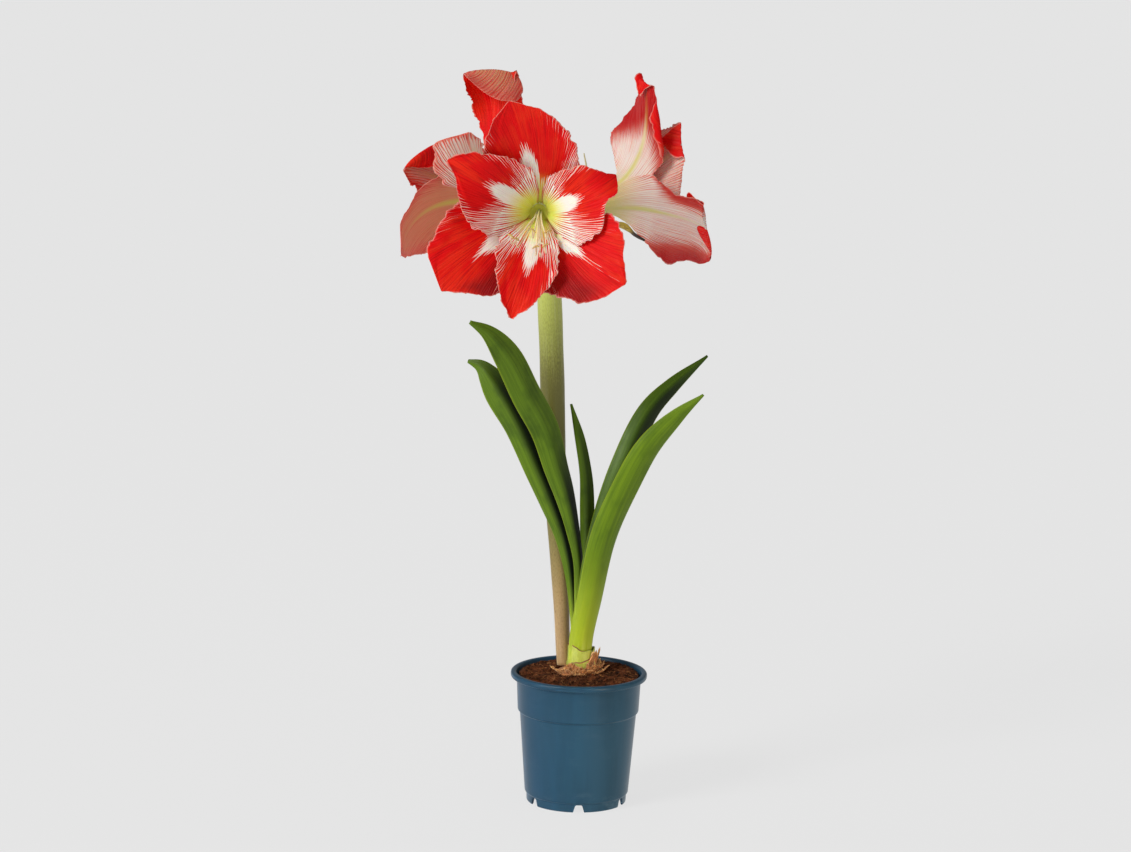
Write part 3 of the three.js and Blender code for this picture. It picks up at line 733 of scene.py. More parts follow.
@dataclass(frozen=True)
class ThreadFinish:
    """Filaments and style, cream flushed with red, and anthers grained with pollen."""

    cream: Colour = (240, 232, 190)
    flush: Colour = (216, 96, 80)
    pollen: Colour = (232, 204, 120)
    husk: Colour = (170, 118, 52)

    def material(self) -> Material:
        """Builds the node tree: "flush" reddens the thread, "anther" turns it to pollen.

        Returns:
            The material.
        """
        g = Graph("thread", Roughness=0.5, Subsurface_Weight=0.1, Subsurface_Scale=0.002)
        grains, cloud = g.noise(g.place(), 2200.0, 2.0), g.noise(g.place(), 260.0, 2.0)
        reddened = g.times(g.kept("flush"), g.band(cloud, 0.3, 0.6))
        thread = g.blend(reddened, self.cream, self.flush)
        anther = g.blend(g.band(grains, 0.4, 0.62), self.husk, self.pollen)
        g.relief(g.times(grains, g.kept("anther")), 0.2)
        return g.done(g.blend(g.kept("anther"), thread, anther))


@dataclass(frozen=True)
class HuskFinish:
    """Dry papery skin: lengthwise fibres, blotches and a torn rim of another colour."""

    name: str
    light: Colour
    base: Colour
    dark: Colour
    rim: Colour
    roughness: float
    depth: float

    def material(self) -> Material:
        """Builds the node tree; "rim" colours the torn edge, in places that the fibres pick.

        Returns:
            The material.
        """
        g = Graph(self.name, Sheen_Weight=0.1)
        fibres = g.fibres(1.8, 0.16, detail=4.0, roughness=0.6)
        blotch = g.fibres(0.3, 0.2, detail=4.0, roughness=0.6)
        colour = g.blend(g.band(fibres, 0.36, 0.64), self.base, self.light)
        colour = g.blend(g.band(blotch, 0.5, 0.72, 0.0, 0.8), colour, self.dark)
        torn = g.swing(fibres, 0.5, g.kept("rim"))
        colour = g.blend(g.band(torn, 0.45, 0.75), colour, self.rim)
        g.relief(g.plus(fibres, g.times(blotch, 1.5)), self.depth, 0.8)
        return g.done(colour, g.band(blotch, 0.3, 0.7, self.roughness - 0.1, self.roughness))


@dataclass(frozen=True)
class SoilFinish:
    """Peaty potting mix: dark crumbs, brown fibres and pale bits, each bit with its own tone."""

    dark: Colour = (26, 12, 5)
    brown: Colour = (86, 46, 22)
    rust: Colour = (132, 72, 38)
    straw: Colour = (156, 104, 62)

    def material(self) -> Material:
        """Builds the node tree.

        Returns:
            The material.
        """
        g = Graph("soil", Roughness=0.95, Specular_IOR_Level=0.2)
        place = g.place()
        crumbs = g.noise(place, 330.0, 5.0, 0.65)
        fibres = g.noise(g.scaled(place, (1.0, 0.25, 1.0)), 900.0, 3.0, 0.6, 1.5)
        patches = g.noise(place, 70.0)
        colour = g.blend(g.band(crumbs, 0.36, 0.62), self.dark, self.brown)
        colour = g.blend(g.band(fibres, 0.52, 0.66, 0.0, 0.75), colour, self.rust)
        colour = g.blend(g.band(patches, 0.44, 0.64, 0.0, 0.65), colour, self.rust)
        colour = g.blend(g.band(g.kept("tone"), 0.6, 1.0, 0.0, 0.8), colour, self.straw)
        g.relief(g.plus(crumbs, g.times(fibres, 0.6)), 1.2)
        return g.done(colour)


@dataclass(frozen=True)
class PlasticFinish:
    """Moulded blue-grey plastic: faint flow marks, a fine satin grain and a scuffed foot."""

    base: Colour = (31, 62, 82)
    light: Colour = (38, 74, 98)
    dust: Colour = (80, 106, 124)

    def material(self) -> Material:
        """Builds the node tree.

        Returns:
            The material.
        """
        g = Graph("pot_plastic", Roughness=0.3, Specular_IOR_Level=0.16)
        place = g.place()
        flow = g.noise(g.scaled(place, (1.0, 1.0, 0.12)), 60.0)
        satin = g.noise(place, 1400.0, 2.0)
        scuff = g.noise(g.scaled(place, (1.0, 1.0, 2.5)), 38.0, 6.0, 0.7)
        colour = g.blend(g.band(flow, 0.35, 0.68, 0.0, 0.5), self.base, self.light)
        foot = g.band(g.part(place, 2), 0.0, 0.03, 0.35, 0.06)
        colour = g.blend(g.times(g.band(scuff, 0.52, 0.68), foot), colour, self.dust)
        g.relief(g.plus(satin, g.times(flow, 0.8)), 0.06, 0.5)
        return g.done(colour)


# ---------------------------------------------------------------- pot, soil and bulb


def rounded(profile: list[tuple[float, float]], radius: float, steps: int = 4) -> Array:
    """Profile whose corners are replaced by arcs: each is a quadratic curve between the points that
    lie the radius from the corner, or less than half the side where that is short.

    Args:
        profile: (radius, height) corners, the first and last kept sharp.
        radius: size of the rounding.
        steps: points added at each corner.

    Returns:
        (rows, 2) points.
    """
    p = np.asarray(profile, float)
    corner = p[1:-1]

    def beside(side: Array) -> Array:
        """Where the rounding meets the side that leaves each corner."""
        most = np.linalg.norm(side, axis=1) / 2.2
        return corner + unit(side) * np.minimum(radius, most)[:, None]

    near, far = beside(p[:-2] - corner), beside(p[2:] - corner)
    f = np.linspace(0, 1, steps + 1)[:, None, None]
    arcs = (1 - f) ** 2 * near + 2 * f * (1 - f) * corner + f**2 * far
    return np.vstack((p[:1], arcs.transpose(1, 0, 2).reshape(-1, 2), p[-1:]))


def prism(outline: Array, low: float, high: float) -> Skin:
    """Straight bar of the given outline.

    Args:
        outline: (corners, 2) points round it.
        low: height of its foot.
        high: height of its top.

    Returns:
        Its surface.
    """
    middle = np.broadcast_to(outline.mean(0), outline.shape)
    rows = ((middle, low), (outline, low), (outline, high), (middle, high))
    skin = Skin()
    skin.ring(np.stack([np.column_stack((row, np.full(len(row), z))) for row, z in rows]),
              np.zeros(2))
    return skin


@dataclass
class Pot:
    """Moulded pot: rolled lip, shallow collar, tapered body, notched foot, drain holes, pad.

    Rim, mouth, collar, body, foot, ring (the foot's inside) and pad are radii; collar and body have
    one at the top and one below.  Under and floor are the heights of the floor's two faces, notch
    is the outline of a cut in the foot, and drain a hole's distance from the axis and its radius.
    Edges past the sharp angle, in degrees, stay crisp.
    """

    height: float = 117.0
    rim: float = 60.0
    lip: float = 5.4
    mouth: float = 56.2
    collar: tuple[float, float] = (54.7, 53.3)
    collar_foot: float = 82.0
    body: tuple[float, float] = (51.4, 45.7)
    step: float = 7.7
    foot: float = 43.9
    wall: float = 1.4
    pad: float = 14.5
    under: float = 7.0
    floor: float = 8.5
    ring: float = 42.0
    rounding: float = 1.3
    columns: int = 168
    notches: int = 6
    notch_turn: float = 3.0
    notch: tuple[tuple[float, float], ...] = ((-5.2, -1), (5.2, -1), (3.2, 5.9), (2.3, 6.8),
                                              (-2.3, 6.8), (-3.2, 5.9))
    drain: tuple[float, float] = (32.0, 4.0)
    sharp: float = 38.0

    def profile(self) -> Array:
        """Outline from the pad under the floor, out, up and back down inside.

        Returns:
            (rows, 2) radii and heights.
        """
        lip = self.height - self.lip
        inner = [radius - self.wall for radius in (*self.collar, *self.body)]
        return rounded([
            (0, 0), (self.pad, 0), (self.pad + 0.8, self.under), (self.ring - 0.4, self.under),
            (self.ring, 0), (self.foot, 0),
            (self.foot + 0.3, self.step), (self.body[1], self.step + 0.8),
            (self.body[0], self.collar_foot - 0.8), (self.collar[1], self.collar_foot),
            (self.collar[0], lip), (self.rim - 0.7, lip + 0.1), (self.rim, lip + 1.5),
            (self.rim, self.height - 1.3), (self.rim - 1.3, self.height),
            (self.mouth, self.height), (self.mouth - 1.2, self.height - 0.8), (inner[0], lip - 1),
            (inner[1], self.collar_foot + 1), (inner[2], self.collar_foot - 1.6),
            (inner[3], self.floor + 2), (inner[3] - 1.5, self.floor),
            (self.pad - 0.8, self.floor), (self.pad - 1.6, 1.6), (0, 1.6)], self.rounding)

    def cutters(self) -> list[bpy.types.Object]:
        """Bars that cut the foot's notches and the floor's drain holes.

        Returns:
            Their objects.
        """
        made = []
        turn = np.linspace(0, TURN, 24, endpoint=False)
        away, radius = self.drain
        hole = np.column_stack((away + radius * np.cos(turn), radius * np.sin(turn)))
        for k in range(self.notches):
            bearing = math.radians(self.notch_turn + 360 * k / self.notches)
            upright = Matrix.Rotation(bearing, 4, "Z") @ Matrix.Rotation(math.pi / 2, 4, "X")
            notch = prism(np.array(self.notch), self.foot - 5.9, self.foot + 6.1)
            made.append(notch.build(f"notch_{k}", np.array(upright)))
            swung = Matrix.Rotation(bearing - math.pi / 2 + math.pi / self.notches, 4, "Z")
            drain = prism(hole, self.under - 3, self.floor + 3.5)
            made.append(drain.build(f"drain_{k}", np.array(swung)))
        return made

    def build(self) -> None:
        """Turns the body, cuts it and dresses it."""
        skin = Skin()
        skin.turned(self.profile(), self.columns)
        piece = skin.build("pot_body")
        cutters = self.cutters()
        for cutter in cutters:
            cut = piece.modifiers.new(cutter.name, "BOOLEAN")
            cut.object, cut.operation, cut.solver = cutter, "DIFFERENCE", "EXACT"
        graph = bpy.context.evaluated_depsgraph_get()
        mesh = bpy.data.meshes.new_from_object(piece.evaluated_get(graph))
        piece.modifiers.clear()
        piece.data = mesh
        for cutter in cutters:
            bpy.data.objects.remove(cutter)
        mesh.set_sharp_from_angle(angle=math.radians(self.sharp))
        finish_piece(piece, "pot", "pot", PlasticFinish().material())


@dataclass
class Soil:
    """Potting mix: a rough mound round the bulb, with loose crumbs and fibres on it.

    Rim and middle are its heights near the wall and near the bulb, and edge is its radius.
    """

    rim: float = 115.0
    middle: float = 115.8
    edge: float = 52.4
    crumbs: int = 900
    rings: int = 60
    columns: int = 240
    seed: int = 7

    def surface(self, x: Array, y: Array) -> Array:
        """Height of the ground: a cone towards the bulb plus noise that fades at the wall.

        Args:
            x: place to the right of the axis.
            y: place behind the axis.

        Returns:
            The height.
        """
        r = np.hypot(x, y)
        rise = self.rim + (self.middle - self.rim) * ease(48, 30, r) + 1.6 * ease(40, 25, r)
        rough = 1.7 * layered(x / 8 + 20, y / 8 + 20, self.seed, 4)
        rough = rough + 0.8 * mottle(x / 1.6 + 9, y / 1.6, 3)
        return rise - 0.6 + rough * ease(54, 47, r)

    def bits(self, skin: Skin) -> None:
        """Strews crumbs (rounded) and fibres (long, bent) over the ground.

        Args:
            skin: the piece they join.
        """
        draw = np.random.default_rng(self.seed)
        s = np.linspace(-1, 1, 6)
        for k in range(self.crumbs):
            r, turn, aim = draw.uniform(22, 51), draw.uniform(0, TURN), draw.uniform(0, np.pi)
            fibre = k % 5 < 3
            long = draw.uniform(2.5, 7.5) if fibre else draw.uniform(0.8, 2.4)
            thick = draw.uniform(0.16, 0.34) if fibre else long * draw.uniform(0.28, 0.45)
            bow = draw.uniform(-0.25, 0.25) * long * s**2
            x = r * np.cos(turn) + long * s * np.cos(aim) - bow * np.sin(aim)
            y = r * np.sin(turn) + long * s * np.sin(aim) + bow * np.cos(aim)
            keep = np.minimum(1, (self.edge - 0.8) / np.hypot(x, y))
            x, y = x * keep, y * keep
            z = self.surface(x, y) + thick * 0.8 + 0.15
            z = z + draw.uniform(-0.1, 0.5) * long * np.abs(s) * 0.4
            skin.tube(np.column_stack((x, y, z)), thick * np.sqrt(1.02 - s**2), (0, 0, 1), 5,
                      tone=draw.uniform(0, 1))

    def build(self) -> None:
        """Sets rings from the pot's floor up its wall, over the top and down round the bulb."""
        skin = Skin()
        below = [(0, 1.9), (12.6, 1.9), (13.4, 8.8), (42.3, 8.8), (43.9, 11), (49.6, 80.6),
                 (51.5, 83.4), (self.edge, 109.4)]
        pocket = [(25.3, 110), (29, 107), (34.4, 99), (37.3, 87), (34.3, 74.7), (21.3, 58.7),
                  (15.3, 55.7), (0, 55.7)]
        ground = np.linspace(self.edge, 25.2, self.rings)
        top = np.column_stack((ground, np.full(self.rings, np.nan)))
        profile = np.vstack((below, top, pocket))
        angle = np.linspace(0, TURN, self.columns + 1)
        x, y = profile[:, :1] * np.cos(angle), profile[:, :1] * np.sin(angle)
        z = np.where(np.isnan(profile[:, 1:]), self.surface(x, y), profile[:, 1:])
        points = np.stack((x, y, z), axis=-1)
        skin.ring(points[:, :-1], points[..., :2], tone=0.4)
        self.bits(skin)
        finish_piece(skin.build("soil_mix"), "soil", "soil", SoilFinish().material())


@dataclass(frozen=True)
class Scale:
    """Papery tunic scale: where it stands on the shoulder, its size, its lean and its curl."""

    bearing: float
    radius: float
    height: float
    half: float
    lean: float
    curl: float = 20.0


@dataclass(frozen=True)
class Sheath:
    """Torn base of an old leaf: its node, its outer radius, the mean height of its rim, how much
    one side is higher, the bearing of that side in degrees, and its wall."""

    node: str
    radius: float
    top: float
    slope: float
    turn: float
    wall: float = 0.7


@dataclass
class Bulb:
    """Bulb, its papery scales and the torn sheaths round the foot of the leaf fan."""

    top: float = 119.0
    neck: tuple[float, float] = (1.6, -1.6)
    scales: tuple[Scale, ...] = (
        Scale(-118, 15.0, 8.5, 8.4, 8, 14), Scale(-66, 15.0, 7.5, 8.0, 22, 14),
        Scale(-28, 14.4, 17, 12.0, 2, 12), Scale(62, 15.4, 10, 8.8, 10))
    sheaths: tuple[Sheath, ...] = (Sheath("neck_sheath_outer", 12.7, 125.5, 2.6, -50),
                                   Sheath("neck_sheath_inner", 11.9, 138.0, 2.0, 200))
    flakes: int = 7
    columns: int = 120
    # bulb skin: its light tan rim is partly the torn edges' own paler tone, partly painted
    # highlight
    husk: HuskFinish = HuskFinish("bulb_skin", (214, 148, 84), (156, 92, 48), (74, 36, 16),
                                  (220, 172, 112), 0.8, 1.0)
    green: HuskFinish = HuskFinish("leaf_sheath", (184, 190, 78), (164, 172, 50), (148, 156, 36),
                                   (126, 52, 28), 0.5, 0.15)

    def shoulder(self, radius: float | Array) -> Array:
        """Height of the bulb's top at a distance from its middle."""
        return self.top - 5.0 * ease(14.5, 24.0, radius)

    def body(self, husk: Material) -> None:
        """Turned bulb with lengthwise ribs; its radius is waved by noise that runs up and down.

        Args:
            husk: its finish.
        """
        profile = rounded([(0, 56), (15, 56), (21, 59), (34, 75), (37, 87), (34, 99), (28, 108),
                           (24.6, 113), (21.5, 115.6), (17.5, 118.2), (14, 119), (0, 119)], 3, 5)
        angle = np.linspace(0, TURN, self.columns, endpoint=False)
        wave = 1 + 0.025 * layered(angle[None] * 6, profile[:, 1:] * 0.05, 11, 3)
        skin = Skin()
        skin.turned(profile, self.columns, wave, rim=0.0)
        finish_piece(skin.build("bulb_body"), "bulb", "bulb_skin", husk)

    def flake(self, skin: Skin, scale: Scale, seed: int) -> None:
        """Adds one torn flake: a crumpled patch that rises from the shoulder and curls outwards.

        Args:
            skin: the piece it joins.
            scale: where it stands and how large it is.
            seed: picks its tears and folds.
        """
        u, v = np.meshgrid(np.linspace(0, 1, 22), np.linspace(-1, 1, 25), indexing="ij")
        tear = 1 - 0.35 * v**2 + 0.3 * layered(v * 2.2 + seed * 5, v * 0 + seed, seed, 4)
        slope = np.radians(scale.lean + scale.curl * u[:, :1])
        rise = np.cumsum(np.cos(slope), axis=0) / len(u) * scale.height * tear
        away = np.cumsum(np.sin(slope), axis=0) / len(u) * scale.height * tear
        crumple = 1.9 * layered(v * 2.4 + seed, u * 2.0, seed + 2, 3) * (0.25 + u)
        reach = scale.radius + away + crumple * np.cos(slope)
        high = self.shoulder(scale.radius) - 0.8 + rise + np.abs(crumple) * np.sin(slope)
        swing = math.radians(scale.bearing) + v * scale.half * (1 - 0.45 * u * u) / scale.radius
        middle = np.stack((reach * np.cos(swing), reach * np.sin(swing), high), -1)
        grain = np.stack((v * scale.half + 7 * seed, u * scale.height), axis=-1)
        # rim: the torn edges, on the bulb skin partly painted highlight
        rim = np.maximum(ease(0.82, 1.0, u), ease(0.86, 1.0, np.abs(v))) * 0.9
        skin.sheet(middle, 0.5 - 0.25 * u, grain, rim=(rim, rim))

    def tunic(self, husk: Material) -> None:
        """Each scale with smaller flakes round it, the outer ones lying flatter on the shoulder.

        Args:
            husk: their finish.
        """
        draw = np.random.default_rng(23)
        for k, scale in enumerate(self.scales):
            skin = Skin()
            self.flake(skin, scale, 3 + k)
            for n in range(self.flakes):
                out = (n + 0.5) / self.flakes
                smaller = Scale(scale.bearing + draw.uniform(-42, 42), 15.0 + 5.0 * out,
                                draw.uniform(5.5, 9), draw.uniform(5, 8),
                                12 + 42 * out + draw.uniform(-12, 12), draw.uniform(-30, 24))
                self.flake(skin, smaller, 20 + 9 * k + n)
            piece = skin.build(f"tunic_flakes_{k + 1}")
            finish_piece(piece, f"tunic_scale_{k + 1}", "bulb_skin", husk)

    def collar(self, sheath: Sheath, material: Material) -> None:
        """Wall round the neck, its rim higher on one side and ragged.

        Args:
            sheath: its sizes.
            material: its finish.
        """
        foot = self.top + 0.3
        angle = np.linspace(0, TURN, 145)[:, None]
        facing = np.cos(angle - math.radians(sheath.turn))
        rim = sheath.top + sheath.slope * facing + 2.0 * facing**2 + 0.7 * np.sin(5 * angle)
        rim = rim + 0.5 * layered(3 * np.cos(angle) + 9, 3 * np.sin(angle) + 9, 5, 3)
        up = np.linspace(0, 1, 16)
        share = np.concatenate((up, up[::-1]))[None]
        side = np.concatenate((np.zeros(16), np.ones(16)))[None]
        reach = sheath.radius - sheath.wall * side - 0.25 * side * share
        reach = reach + 0.35 * np.sin(3 * angle) * share
        z = foot + (rim - foot) * share
        points = np.stack((self.neck[0] + reach * np.cos(angle),
                           self.neck[1] + reach * np.sin(angle), z), axis=-1)
        grain = np.stack(np.broadcast_arrays(angle * sheath.radius, z), axis=-1)
        skin = Skin()
        skin.ring(points, np.concatenate((grain, grain[:, :1]), axis=1),
                  rim=ease(1.5, 0.2, rim - z) * (0.35 + 0.65 * ease(-0.3, 0.6, facing)))
        finish_piece(skin.build(f"{sheath.node}_wall"), sheath.node, "leaf_sheath", material)

    def build(self) -> None:
        """Builds the bulb, the scales and both sheaths."""
        husk, green = self.husk.material(), self.green.material()
        self.body(husk)
        self.tunic(husk)
        for sheath in self.sheaths:
            self.collar(sheath, green)


# ---------------------------------------------------------------- leaves and stalk


@dataclass
class Strap:
    """Channelled strap along a path, its keel turned to one side.

    Half is the half-width and bend the angle of its margins, both at even stations; face is the
    direction its keel looks, and thick the thickness of the keel and of the margins.  Crease and
    wave raise its halves and its margins.  Shade is painted shade: how dark its right half, the one
    turned from the light, is coloured, and up to which share of its length.
    """

    path: Sequence[Point]
    half: tuple[float, ...]
    bend: tuple[float, ...]
    face: Point
    thick: tuple[float, float] = (2.0, 0.9)
    crease: float = 0.0
    wave: float = 0.0
    shade: tuple[float, float] = (0.0, 0.0)
    rows: int = 170
    columns: int = 29

    def build(self, name: str) -> bpy.types.Object:
        """Makes the strap: an arc across the path, set out to both sides by the half-width, with a
        crease along the keel, and waved margins.

        Args:
            name: the object's name.

        Returns:
            The object, with "height", "margin", "rim" and "shade" kept with its points.
        """
        t, v = np.linspace(0, 1, self.rows), np.linspace(-1, 1, self.columns)
        spine = smooth_path(self.path, t)
        along = heading(spine)
        towards = unit(np.asarray(self.face))
        keel = square_to(along, towards)
        width = np.cross(along, keel)
        reach = through(self.half, t)[:, None]
        turn = np.radians(through(self.bend, t))[:, None]
        out = reach * np.sin(turn * v) / turn
        lift = reach * (1 - np.cos(turn * v)) / turn
        lift = lift + self.crease * reach * (np.abs(v) - np.abs(v) ** 3)
        lift = lift + self.wave * np.abs(v) ** 3 * np.sin(23 * t[:, None] + 3 * v)
        middle = spine[:, None] + out[..., None] * width[:, None] - lift[..., None] * keel[:, None]
        ends = np.maximum(v[None] ** 2, t[:, None] ** 6)
        thick = self.thick[0] + (self.thick[1] - self.thick[0]) * ends
        thick = thick * np.sqrt(1.06 - v[None] ** 8)
        run = t * np.linalg.norm(np.diff(spine, axis=0), axis=1).sum()
        grain = np.stack(np.broadcast_arrays(v * max(self.half), run[:, None]), axis=-1)
        # painted shade on the right half, from the keel outwards, up to the given share of the
        # length
        height, (share, top) = t[:, None], self.shade
        shade = share * ease(-0.35, 0.3, v) * ease(top + 0.12, top - 0.12, height)
        kept = {"height": height, "margin": ease(0.9, 1, np.abs(v)), "rim": ease(0.62, 1, height),
                "shade": shade * ease(0.02, 0.16, height)}
        skin = Skin()
        skin.sheet(middle, thick, grain, **{key: (value, value) for key, value in kept.items()})
        return skin.build(name)


# shade on each leaf is painted shade on its right half, the one turned from the light
LEAVES = {
    "leaf_front_right": Strap(
        [(1.6, -10.2, 119.8), (3, -10.4, 150), (9, -13, 183), (18.6, -18, 237), (37.2, -24, 287),
         (56.4, -30, 325), (79, -37, 353), (101, -45, 374)],
        (12.4, 12.9, 12.9, 13, 13, 12.2, 8.6, 0.9), (62, 52, 42, 38, 34, 30), (0.28, -0.95, 0.12),
        crease=0.1, wave=0.5),
    "leaf_rear_right": Strap(
        [(0.8, -7.4, 119.8), (0.8, -7.2, 160), (4.3, -6.4, 194), (7.5, -4.6, 214),
         (12.3, -1.8, 234.4), (18.4, 1.8, 254.7), (33.6, 10, 298), (55.7, 22, 345.8),
         (76, 33, 367.4), (106.7, 44, 393)],
        (5.2, 5.7, 6.8, 8.8, 10.8, 11.5, 10.3, 7.1, 0.9), (36, 38, 42, 40, 36, 30),
        (0.1, -0.98, 0.15), crease=0.2, wave=0.5, shade=(0.85, 0.95)),
    "leaf_front_left": Strap(
        [(-0.1, -3.4, 119.8), (-0.5, -2.2, 155), (-1, -1.2, 188), (-2.2, -2.9, 216),
         (-6.4, -7.8, 241), (-14.4, -13.6, 277.3), (-22.3, -16.5, 302), (-33, -20.6, 336),
         (-49, -30, 367), (-67, -39, 402.5), (-84, -47, 424), (-100, -53, 434)],
        (4.8, 4.8, 4.9, 7.7, 11.9, 14.4, 14.5, 12.4, 1.6), (36, 44, 52, 50, 40, 30, 26),
        (0.36, -0.92, 0.1), crease=0.22, wave=0.6, shade=(1.0, 0.55)),
    "leaf_rear_left": Strap(
        [(-2.7, 0.4, 119.8), (-4.3, 2, 153), (-6.6, 3.4, 177.5), (-9.4, 3.4, 200),
         (-13.1, 1.8, 220), (-18.7, 0, 241.6), (-29.1, -2, 269.3), (-39.2, -1, 293),
         (-58.9, 3, 336), (-84.2, 12, 376.3), (-92.3, 16, 384.3), (-103, 20, 387.8)],
        (4.4, 4.1, 4.8, 7, 10.4, 12.4, 13.3, 14.1, 1.6), (36, 40, 44, 44, 40, 34, 28),
        (-0.05, -0.98, 0.1), crease=0.2, wave=0.6, shade=(1.0, 0.95)),
    "leaf_centre": Strap(
        [(5.2, 2.6, 119.8), (4.8, 4, 180), (4.4, 7, 227), (3.6, 9.6, 260.5), (2.1, 11.4, 288),
         (-3.7, 13.6, 321), (-12.2, 15, 352.6)],
        (5.2, 5.7, 6.2, 6.8, 7.3, 7.2, 6, 4.7, 0.9), (32, 40, 48, 46, 40), (-0.15, -0.98, 0.1),
        crease=0.2, wave=0.3, shade=(0.7, 0.9)),
}
SPATHE = {
    "spathe_valve_right": Strap(
        [(-25, 1, 489), (-20, -2, 500), (-2, -3, 510), (24, 1, 512), (48, 5, 499)],
        (7.5, 8.6, 7.6, 5.2, 0.8), (46, 52, 50, 44), (0.5, -0.2, -0.85), (0.9, 0.7), wave=1.2,
        rows=90, columns=21),
    "spathe_valve_left": Strap(
        [(-47.6, 12, 489), (-53, 16, 500), (-70, 30, 504), (-88, 44, 486), (-97, 50, 462)],
        (7.5, 8.6, 7.6, 5.2, 0.8), (46, 52, 50, 44), (-0.6, 0.3, -0.75), (0.9, 0.7), wave=1.2,
        rows=90, columns=21),
    "bracteole": Strap(
        [(-30.4, 3, 498.9), (-29.6, 0.4, 512), (-11, -2, 538), (-3.4, -2.6, 558), (-6, -3, 575)],
        (1.6, 1.7, 1.3, 0.5), (20, 20), (0.4, -0.9, 0), (0.9, 0.7), rows=60, columns=9),
}


@dataclass
class LeafFan:
    """Five strap leaves in a two-ranked fan."""

    finish: LeafFinish = LeafFinish()

    def build(self) -> None:
        """Builds each leaf; the right ones get lit and shaded copies of the leaf colour: the front
        one lighter as painted light, the one behind darker as painted shade.
        """
        common = self.finish.material()
        # painted light and shade: a lighter copy for the front leaf, a darker one for the leaf
        # behind
        lit_and_shaded_copies = {
            "leaf_front_right": LeafFinish((94, 122, 12), (110, 138, 16), (66, 94, 10),
                                           reach=0.42).material(),
            "leaf_rear_right": LeafFinish((72, 100, 14), (84, 114, 20), (50, 78, 10)).material()}
        for name, strap in LEAVES.items():
            piece = strap.build(f"{name}_blade")
            finish_piece(piece, name, "leaf", lit_and_shaded_copies.get(name, common))


@dataclass
class Stalk:
    """The scape: a round stalk that thickens upwards."""

    path: Sequence[Point] = ((-13.9, 10.2, 119.8), (-17.1, 13.6, 180), (-23.8, 14.4, 268),
                             (-30.6, 11, 406), (-36, 7, 498))
    foot: float = 5.7
    head: float = 10.6

    def tip(self) -> tuple[Array, Array]:
        """Where the stalk ends.

        Returns:
            Middle of its head and its direction there.
        """
        spine = smooth_path(self.path, np.linspace(0, 1, 400))
        return spine[-1], heading(spine)[-1]

    def build(self) -> None:
        """Carries a circle up the path; it is slightly flattened and its head is rounded off."""
        t = np.linspace(0, 1, 150)
        spine = smooth_path(self.path, t)
        radius = self.foot + (self.head - self.foot) * np.minimum(1, 1.7 * t) ** 0.9
        radius = radius * (1 - 0.12 * ease(0.985, 1.0, t)) * (1 + 0.012 * np.sin(40 * t))
        skin = Skin()
        skin.tube(spine, radius, (1, 0, 0), 56, 0.94, height=t)
        finish_piece(skin.build("scape_stalk"), "scape", "scape", StalkFinish().material())


# ---------------------------------------------------------------- flowers


FAN_STEP = 22.0  # shift of the grain from one petal to the next: ten periods of the veins
TIP = 1.2  # half-width of a petal's tip


class Whorl(Enum):
    """Ring of tepals: its name, the radius of the ring and half the width of a foot."""

    INNER = ("inner", 7.7, 6.6)
    OUTER = ("outer", 9.6, 7.0)


@dataclass(frozen=True)
class Side:
    """One half of a tepal: its half-widths at even stations between the foot and the tip, and the
    degrees by which it bends inwards at mid-length and at the tip."""

    half: tuple[float, ...]
    curl: tuple[float, float]


@dataclass(frozen=True)
class Fold:
    """Crease between two (along, across) places; what lies left of it turns over by an angle."""

    start: tuple[float, float]
    end: tuple[float, float]
    angle: float
    radius: float

    @staticmethod
    def pick(points: Array, along: float, across: float) -> Array:
        """Point of a surface between its grid's four nearest.

        Args:
            points: (rows, columns, 3) surface.
            along: share of its length.
            across: share of its half-width, -1 to 1.

        Returns:
            The point.
        """
        rows, columns = points.shape[0] - 1, points.shape[1] - 1
        i, j = along * rows, (across + 1) / 2 * columns
        i0, j0 = int(min(i, rows - 1)), int(min(j, columns - 1))
        f, h = i - i0, j - j0
        near = points[i0, j0] * (1 - h) + points[i0, j0 + 1] * h
        return near * (1 - f) + (points[i0 + 1, j0] * (1 - h) + points[i0 + 1, j0 + 1] * h) * f

    def bent(self, points: Array) -> Array:
        """Surface with what lies beyond the crease rolled round a cylinder of the fold's radius.

        Args:
            points: (rows, columns, 3) surface.

        Returns:
            The surface with its flap turned over.
        """
        first, last = self.pick(points, *self.start), self.pick(points, *self.end)
        line = unit(last - first)
        t, v = (self.start[0] + self.end[0]) / 2, (self.start[1] + self.end[1]) / 2
        nudge = 0.03
        normal = np.cross(self.pick(points, t + nudge, v) - self.pick(points, t - nudge, v),
                          self.pick(points, t, v + nudge) - self.pick(points, t, v - nudge))
        normal = unit(normal - line * (normal @ line))
        beyond = np.cross(normal, line)
        offset = points - first
        s, h, run = offset @ beyond, offset @ normal, offset @ line
        whole, sign = math.radians(abs(self.angle)), math.copysign(1, self.angle)
        phi = np.clip(s / self.radius, 0, whole)
        rest = np.maximum(s - self.radius * whole, 0)
        across = self.radius * np.sin(phi) + rest * np.cos(phi) - sign * np.sin(phi) * h
        up = sign * (self.radius * (1 - np.cos(phi)) + rest * np.sin(phi)) + np.cos(phi) * h
        moved = first + line * run[..., None] + beyond * across[..., None] + normal * up[..., None]
        return np.where((s > 0)[..., None], moved, points)


@dataclass(frozen=True)
class Lay:
    """Where a petal's points lie: t along it, s across it (-1 to 1) and its half-width there."""

    t: Array
    s: Array
    reach: Array

    @property
    def side(self) -> Array:
        """Share of the half-width, from the midrib to either margin."""
        return np.abs(self.s)

    @property
    def across(self) -> Array:
        """Distance from the midrib."""
        return self.side * self.reach


